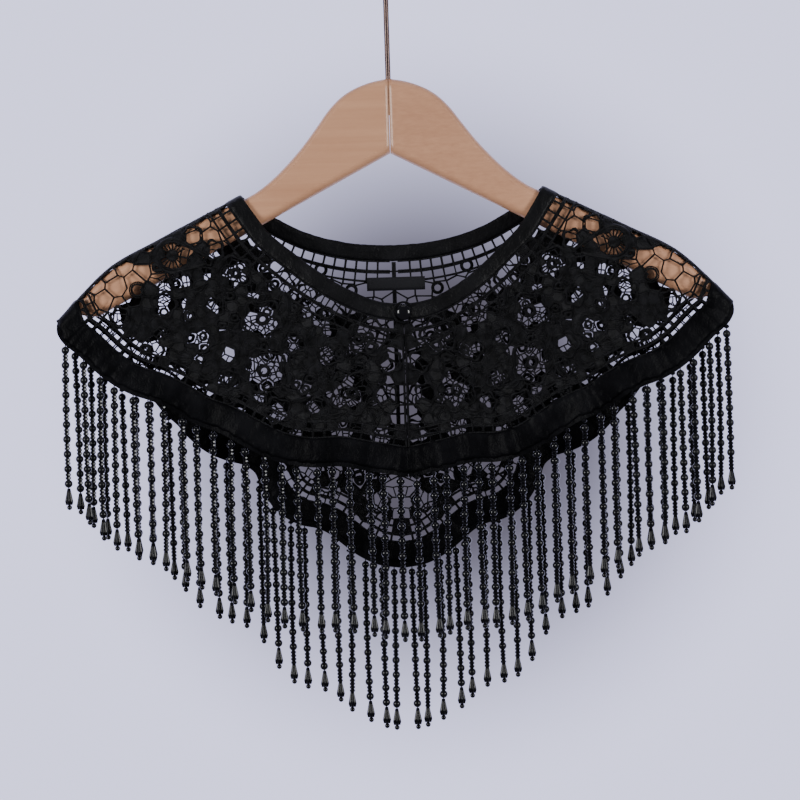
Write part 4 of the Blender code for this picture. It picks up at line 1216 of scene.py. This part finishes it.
def fluted_drop(nodes, links, segments, rings):
    """A drop with five flutes: a cone of unit size that widens downwards and turns in at its foot."""
    cone = nodes.new("GeometryNodeMeshCone")
    cone.inputs["Vertices"].default_value = segments
    cone.inputs["Side Segments"].default_value = rings
    cone.inputs["Radius Top"].default_value = 0.17
    cone.inputs["Radius Bottom"].default_value = 0.52
    cone.inputs["Depth"].default_value = 1.0
    place = nodes.new("GeometryNodeInputPosition")
    split = nodes.new("ShaderNodeSeparateXYZ")
    links.new(place.outputs[0], split.inputs[0])

    def maths(operation, *values):
        step = nodes.new("ShaderNodeMath")
        step.operation = operation
        for socket, value in zip(step.inputs, values):
            if isinstance(value, float):
                socket.default_value = value
            else:
                links.new(value, socket)
        return step.outputs[0]

    turn = maths("ARCTAN2", split.outputs["Y"], split.outputs["X"])
    flute = maths("MULTIPLY_ADD", maths("SINE", maths("MULTIPLY", turn, 5.0)), -0.12, 0.88)
    foot = nodes.new("ShaderNodeMapRange")
    for name, value in (("From Min", -0.5), ("From Max", -0.3), ("To Min", 0.68), ("To Max", 1.0)):
        foot.inputs[name].default_value = value
    links.new(split.outputs["Z"], foot.inputs["Value"])
    build = nodes.new("ShaderNodeCombineXYZ")
    size = maths("MULTIPLY", flute, foot.outputs[0])
    for axis in "XY":
        links.new(maths("MULTIPLY", split.outputs[axis], size), build.inputs[axis])
    links.new(split.outputs["Z"], build.inputs["Z"])
    lowered = nodes.new("GeometryNodeTransform")
    lowered.inputs["Translation"].default_value = (0.0, 0.0, -0.5)
    links.new(cone.outputs["Mesh"], lowered.inputs["Geometry"])
    moved = nodes.new("GeometryNodeSetPosition")
    links.new(lowered.outputs["Geometry"], moved.inputs["Geometry"])
    links.new(build.outputs[0], moved.inputs["Position"])
    return moved.outputs["Geometry"]


def bead_tree():
    """Geometry Nodes that put a bead of the right kind on each point, with sizes as named inputs."""
    tree = bpy.data.node_groups.new("bead_strings", "GeometryNodeTree")
    tree.interface.new_socket("Geometry", in_out="INPUT", socket_type="NodeSocketGeometry")
    sizes = {}
    for name, value in (
        ("Round bead", BIG_BEAD), ("Small bead width", SMALL_BEAD[0]),
        ("Small bead length", SMALL_BEAD[1] * 1.3), ("Drop width", DROP_BEAD[0]),
        ("Drop length", DROP_BEAD[1]), ("End bead", END_BEAD),
    ):
        socket = tree.interface.new_socket(name, in_out="INPUT", socket_type="NodeSocketFloat")
        sizes[socket.identifier] = value / 1000
    paint = tree.interface.new_socket("Bead glass", in_out="INPUT", socket_type="NodeSocketMaterial")
    drop_paint = tree.interface.new_socket("Drop glass", in_out="INPUT", socket_type="NodeSocketMaterial")
    tree.interface.new_socket("Geometry", in_out="OUTPUT", socket_type="NodeSocketGeometry")
    nodes, links = tree.nodes, tree.links
    given = nodes.new("NodeGroupInput")
    result = nodes.new("NodeGroupOutput")
    kind = nodes.new("GeometryNodeInputNamedAttribute")
    kind.data_type = "INT"
    kind.inputs["Name"].default_value = "kind"
    join = nodes.new("GeometryNodeJoinGeometry")

    def is_kind(number):
        same = nodes.new("FunctionNodeCompare")
        same.data_type = "INT"
        same.operation = "EQUAL"
        links.new(kind.outputs["Attribute"], same.inputs[2])
        same.inputs[3].default_value = number
        return same.outputs[0]

    def scaled(width, length):
        size = nodes.new("ShaderNodeCombineXYZ")
        for axis, name in zip("XYZ", (width, width, length)):
            links.new(given.outputs[name], size.inputs[axis])
        return size.outputs[0]

    beads = (
        (ROUND, 12, 9, "Round bead", "Round bead"), (SMALL, 9, 5, "Small bead width", "Small bead length"),
        (DROP, 30, 5, "Drop width", "Drop length"), (LAST, 10, 6, "End bead", "End bead"),
    )
    for number, segments, rings, width, length in beads:
        ball = nodes.new("GeometryNodeMeshUVSphere")
        ball.inputs["Segments"].default_value = segments
        ball.inputs["Rings"].default_value = rings
        ball.inputs["Radius"].default_value = 0.5
        shape = ball.outputs["Mesh"]
        if number == DROP:
            shape = fluted_drop(nodes, links, segments, rings)
        if number != SMALL:
            soft = nodes.new("GeometryNodeSetShadeSmooth")
            links.new(shape, soft.inputs["Geometry"])
            shape = soft.outputs["Geometry"]
        put = nodes.new("GeometryNodeInstanceOnPoints")
        links.new(given.outputs["Geometry"], put.inputs["Points"])
        links.new(is_kind(number), put.inputs["Selection"])
        links.new(shape, put.inputs["Instance"])
        links.new(scaled(width, length), put.inputs["Scale"])
        links.new(put.outputs["Instances"], join.inputs[0])
    real = nodes.new("GeometryNodeRealizeInstances")
    coat = nodes.new("GeometryNodeSetMaterial")
    drop_coat = nodes.new("GeometryNodeSetMaterial")
    links.new(join.outputs[0], real.inputs[0])
    links.new(real.outputs[0], coat.inputs["Geometry"])
    links.new(given.outputs["Bead glass"], coat.inputs["Material"])
    links.new(coat.outputs[0], drop_coat.inputs["Geometry"])
    links.new(is_kind(DROP), drop_coat.inputs["Selection"])
    links.new(given.outputs["Drop glass"], drop_coat.inputs["Material"])
    links.new(drop_coat.outputs[0], result.inputs[0])
    given_values = {paint.identifier: BLACK_BEAD, drop_paint.identifier: BLACK_DROP, **sizes}
    return tree, given_values


def bead_piece(name, points, kinds, node_name):
    """A plain mesh of beads on the given points."""
    mesh = bpy.data.meshes.new(name)
    mesh.from_pydata((np.array(points) / 1000).tolist(), [], [])
    mesh.attributes.new("kind", "INT", "POINT").data.foreach_set("value", kinds)
    piece = bpy.data.objects.new(name, mesh)
    bpy.context.scene.collection.objects.link(piece)
    string = piece.modifiers.new("beads", "NODES")
    string.node_group = BEAD_TREE
    for identifier, value in BEAD_INPUTS.items():
        string[identifier] = value
    graph = bpy.context.evaluated_depsgraph_get()
    strung = bpy.data.meshes.new_from_object(piece.evaluated_get(graph))
    piece.modifiers.clear()
    piece.data = strung
    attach(piece, "root")
    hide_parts(node_name)
    return piece


def threads_and_tape(side, turn, threads):
    """The strings' threads and the narrow tape that they are knotted into, for one half."""
    hem = edge_line(HEM_PROFILE[side], side, 1.6)[3:]
    first = beside(hem, -0.4, True) * [[turn, 1]]
    second = beside(hem, STRIP_GAP + STRIP_HEIGHT - 0.6, True) * [[turn, 1]]
    if side == "front":
        first[-1, 0] = second[-1, 0] = turn * SEAM_GAP / 2
    points, faces = [], []
    grid = np.stack([first, second], axis=1).reshape(-1, 2)
    for outward in (-0.9, -0.1):
        points += list(on_cloth(side, grid[:, 0], grid[:, 1], outward))
    count = len(grid)
    for station in range(len(first) - 1):
        a = station * 2
        for one, two in ((a, a + 1), (a + 1, a + 1 + count), (a + 1 + count, a + count), (a + count, a)):
            faces.append((one, two, two + 2, one + 2))
    faces.append((0, 1, 1 + count, count))
    faces.append((count - 2, count - 1, 2 * count - 1, 2 * count - 2))
    for thread in threads:
        thread_points, thread_faces = bar_along(thread, 0.35, 5)
        faces += [tuple(corner + len(points) for corner in face) for face in thread_faces]
        points += list(thread_points)
    return points, faces


BEAD_BLACK = (0.003, 0.003, 0.0045, 1)
BLACK_BEAD, _, _ = material_start(
    "black_bead", Base_Color=BEAD_BLACK, Roughness=0.1, Specular_IOR_Level=0.3,
)
BLACK_DROP, _, _ = material_start(
    "black_drop", Base_Color=BEAD_BLACK, Roughness=0.16, Specular_IOR_Level=0.13,
)
BEAD_TREE, BEAD_INPUTS = bead_tree()
FRINGE_PIECES = {}
for side in ("front", "back"):
    for end, turn in (("right", 1), ("left", -1)):
        chance = np.random.default_rng(60 + turn + (side == "front"))
        bead_places, bead_kinds, bead_threads = bead_points(side, turn, chance)
        node_name = "fringe_back" if side == "back" else "fringe_front_" + end
        stem = f"fringe_{side}_{end}"
        beads = bead_piece(stem + "_beads", bead_places, bead_kinds, node_name)
        tape = threads_and_tape(side, turn, bead_threads)
        tape = add_piece(stem + "_tape", *tape, HEM_SATIN, "beads", [node_name], smooth=False)
        FRINGE_PIECES[stem] = [beads, tape]


# The fastening and the label: a small domed button on a shank with a cord loop round it at the front neck,
# and a strip of woven tape inside the back, left bare.
LOOP_RADIUS = 6.1
LABEL_ACROSS = (-16.5, 18.5)
LABEL_DEPTHS = (118.8, 126.8)
LABEL_STATIONS = 24
LABEL_ROWS = 5


def turned(profile, corners, centre):
    """Points and faces of a round shape from (depth, radius) rows, facing the front."""
    points = [(centre[0], centre[1] - profile[0][0], centre[2])]
    for depth, radius in profile[1:-1]:
        for angle in np.arange(corners) * 2 * math.pi / corners:
            across, up = radius * math.cos(angle), radius * math.sin(angle)
            points.append((centre[0] + across, centre[1] - depth, centre[2] + up))
    points.append((centre[0], centre[1] - profile[-1][0], centre[2]))
    faces = []
    for corner in range(corners):
        following = (corner + 1) % corners
        faces.append((0, 1 + corner, 1 + following))
        for row in range(len(profile) - 3):
            a, b = 1 + row * corners + corner, 1 + row * corners + following
            faces.append((a, b, b + corners, a + corners))
        last = 1 + (len(profile) - 3) * corners
        faces.append((last + corner, last + following, len(points) - 1))
    return points, faces


button_centre = on_cloth("front", 0, down_cloth(0, 141), RIBBON_THICKNESS / 2) - [0, SEAM_GAP, 0]
dome = [(0.0, 0.0), (0.0, 3.6), (0.35, 4.25), (0.9, 4.65), (1.5, 4.7)]
dome += [(1.5 + 2.3 * math.sin(turn), 4.7 * math.cos(turn)) for turn in np.linspace(0.15, 1.45, 9)]
dome += [(3.8, 0.0)]
add_piece("button_domed", *turned(dome, 32, button_centre), BLACK_BEAD, "beads", ["button"])
loop_path = [
    button_centre + (LOOP_RADIUS * math.cos(turn), -1.0, LOOP_RADIUS * math.sin(turn))
    for turn in np.radians(np.linspace(40, 320, 40))
]
add_piece("button_loop_cord", *bar_along(loop_path, 0.6, 10), BLACK_SATIN, "ribbon", ["button_loop"])

tape_cloth, tape_signal, tape_shader = material_start("label_tape", Roughness=0.6, Specular_IOR_Level=0.12)
fine_weave = noise(tape_signal, 1500.0, 1.0)
feed(fine_weave.mix((0.006, 0.006, 0.008, 1), (0.014, 0.014, 0.017, 1)), tape_shader, "Base Color")
bump(tape_signal, fine_weave, 0.3, 0.0002, tape_shader)
label_columns = np.linspace(*LABEL_ACROSS, LABEL_STATIONS)
label_rows = np.linspace(*LABEL_DEPTHS, LABEL_ROWS)
label_grid = np.array([cloth_place(across, depth) for across in label_columns for depth in label_rows])
# The woven edges curl in a little on both faces
label_edge = np.abs(np.tile(np.linspace(-1, 1, LABEL_ROWS), LABEL_STATIONS)) > 0.9
label_points = []
for inward, curl in ((1.2, 0.12), (1.9, -0.12)):
    outward = -inward - np.where(label_edge, curl, 0)
    label_points += list(on_cloth("back", label_grid[:, 0], label_grid[:, 1], outward))
label_count = LABEL_STATIONS * LABEL_ROWS
label_faces = []
for station in range(LABEL_STATIONS - 1):
    start = station * LABEL_ROWS
    for a in range(start, start + LABEL_ROWS - 1):
        b = a + label_count
        label_faces += [(a, a + 1, a + LABEL_ROWS + 1, a + LABEL_ROWS)]
        label_faces += [(b, b + LABEL_ROWS, b + LABEL_ROWS + 1, b + 1)]
    for a in (start, start + LABEL_ROWS - 1):
        label_faces.append((a, a + LABEL_ROWS, a + LABEL_ROWS + label_count, a + label_count))
for row in range(LABEL_ROWS - 1):
    for a in (row, label_count - LABEL_ROWS + row):
        label_faces.append((a, a + 1, a + 1 + label_count, a + label_count))
add_piece("neck_label_tape", label_points, label_faces, tape_cloth, "label", ["neck_label"])


# The cloth as it was cut. For each lace piece, its ribbons and its share of the fringe are gathered in a
# list. The flat size of the half's lace that shows between its ribbons is worked out, and so is its area,
# because that cut isn't a rectangle.
def half_area(side):
    """The flat area of half a panel's lace in square millimetres, and its width and length."""
    neck = beside(edge_line(NECK_PROFILE[side], side, 2.0), NECK_RIBBON_WIDTH, True)
    hem = beside(edge_line(HEM_PROFILE[side], side, 2.0), HEM_RIBBON_WIDTH[side], False)
    shape = np.concatenate([neck, hem[::-1]])
    area = abs(area_and_middle(shape)[0])
    width, length = np.ptp(shape, axis=0)
    return area, width, length


for side in ("front", "back"):
    lace_area, lace_width, lace_length = half_area(side)
    for end in ("left", "right"):
        carried = [LACE_PIECES[f"lace_{side}_{end}_motifs"]] + FRINGE_PIECES[f"fringe_{side}_{end}"]
        if side == "front":
            carried += [RIBBON_PIECES["neck_binding_front_" + end], RIBBON_PIECES["hem_band_front_" + end]]
        elif end == "left":
            carried += [RIBBON_PIECES["neck_binding_back"], RIBBON_PIECES["hem_band_back"]]
        lace_width / 1000
        lace_length / 1000
        lace_area / 1e6
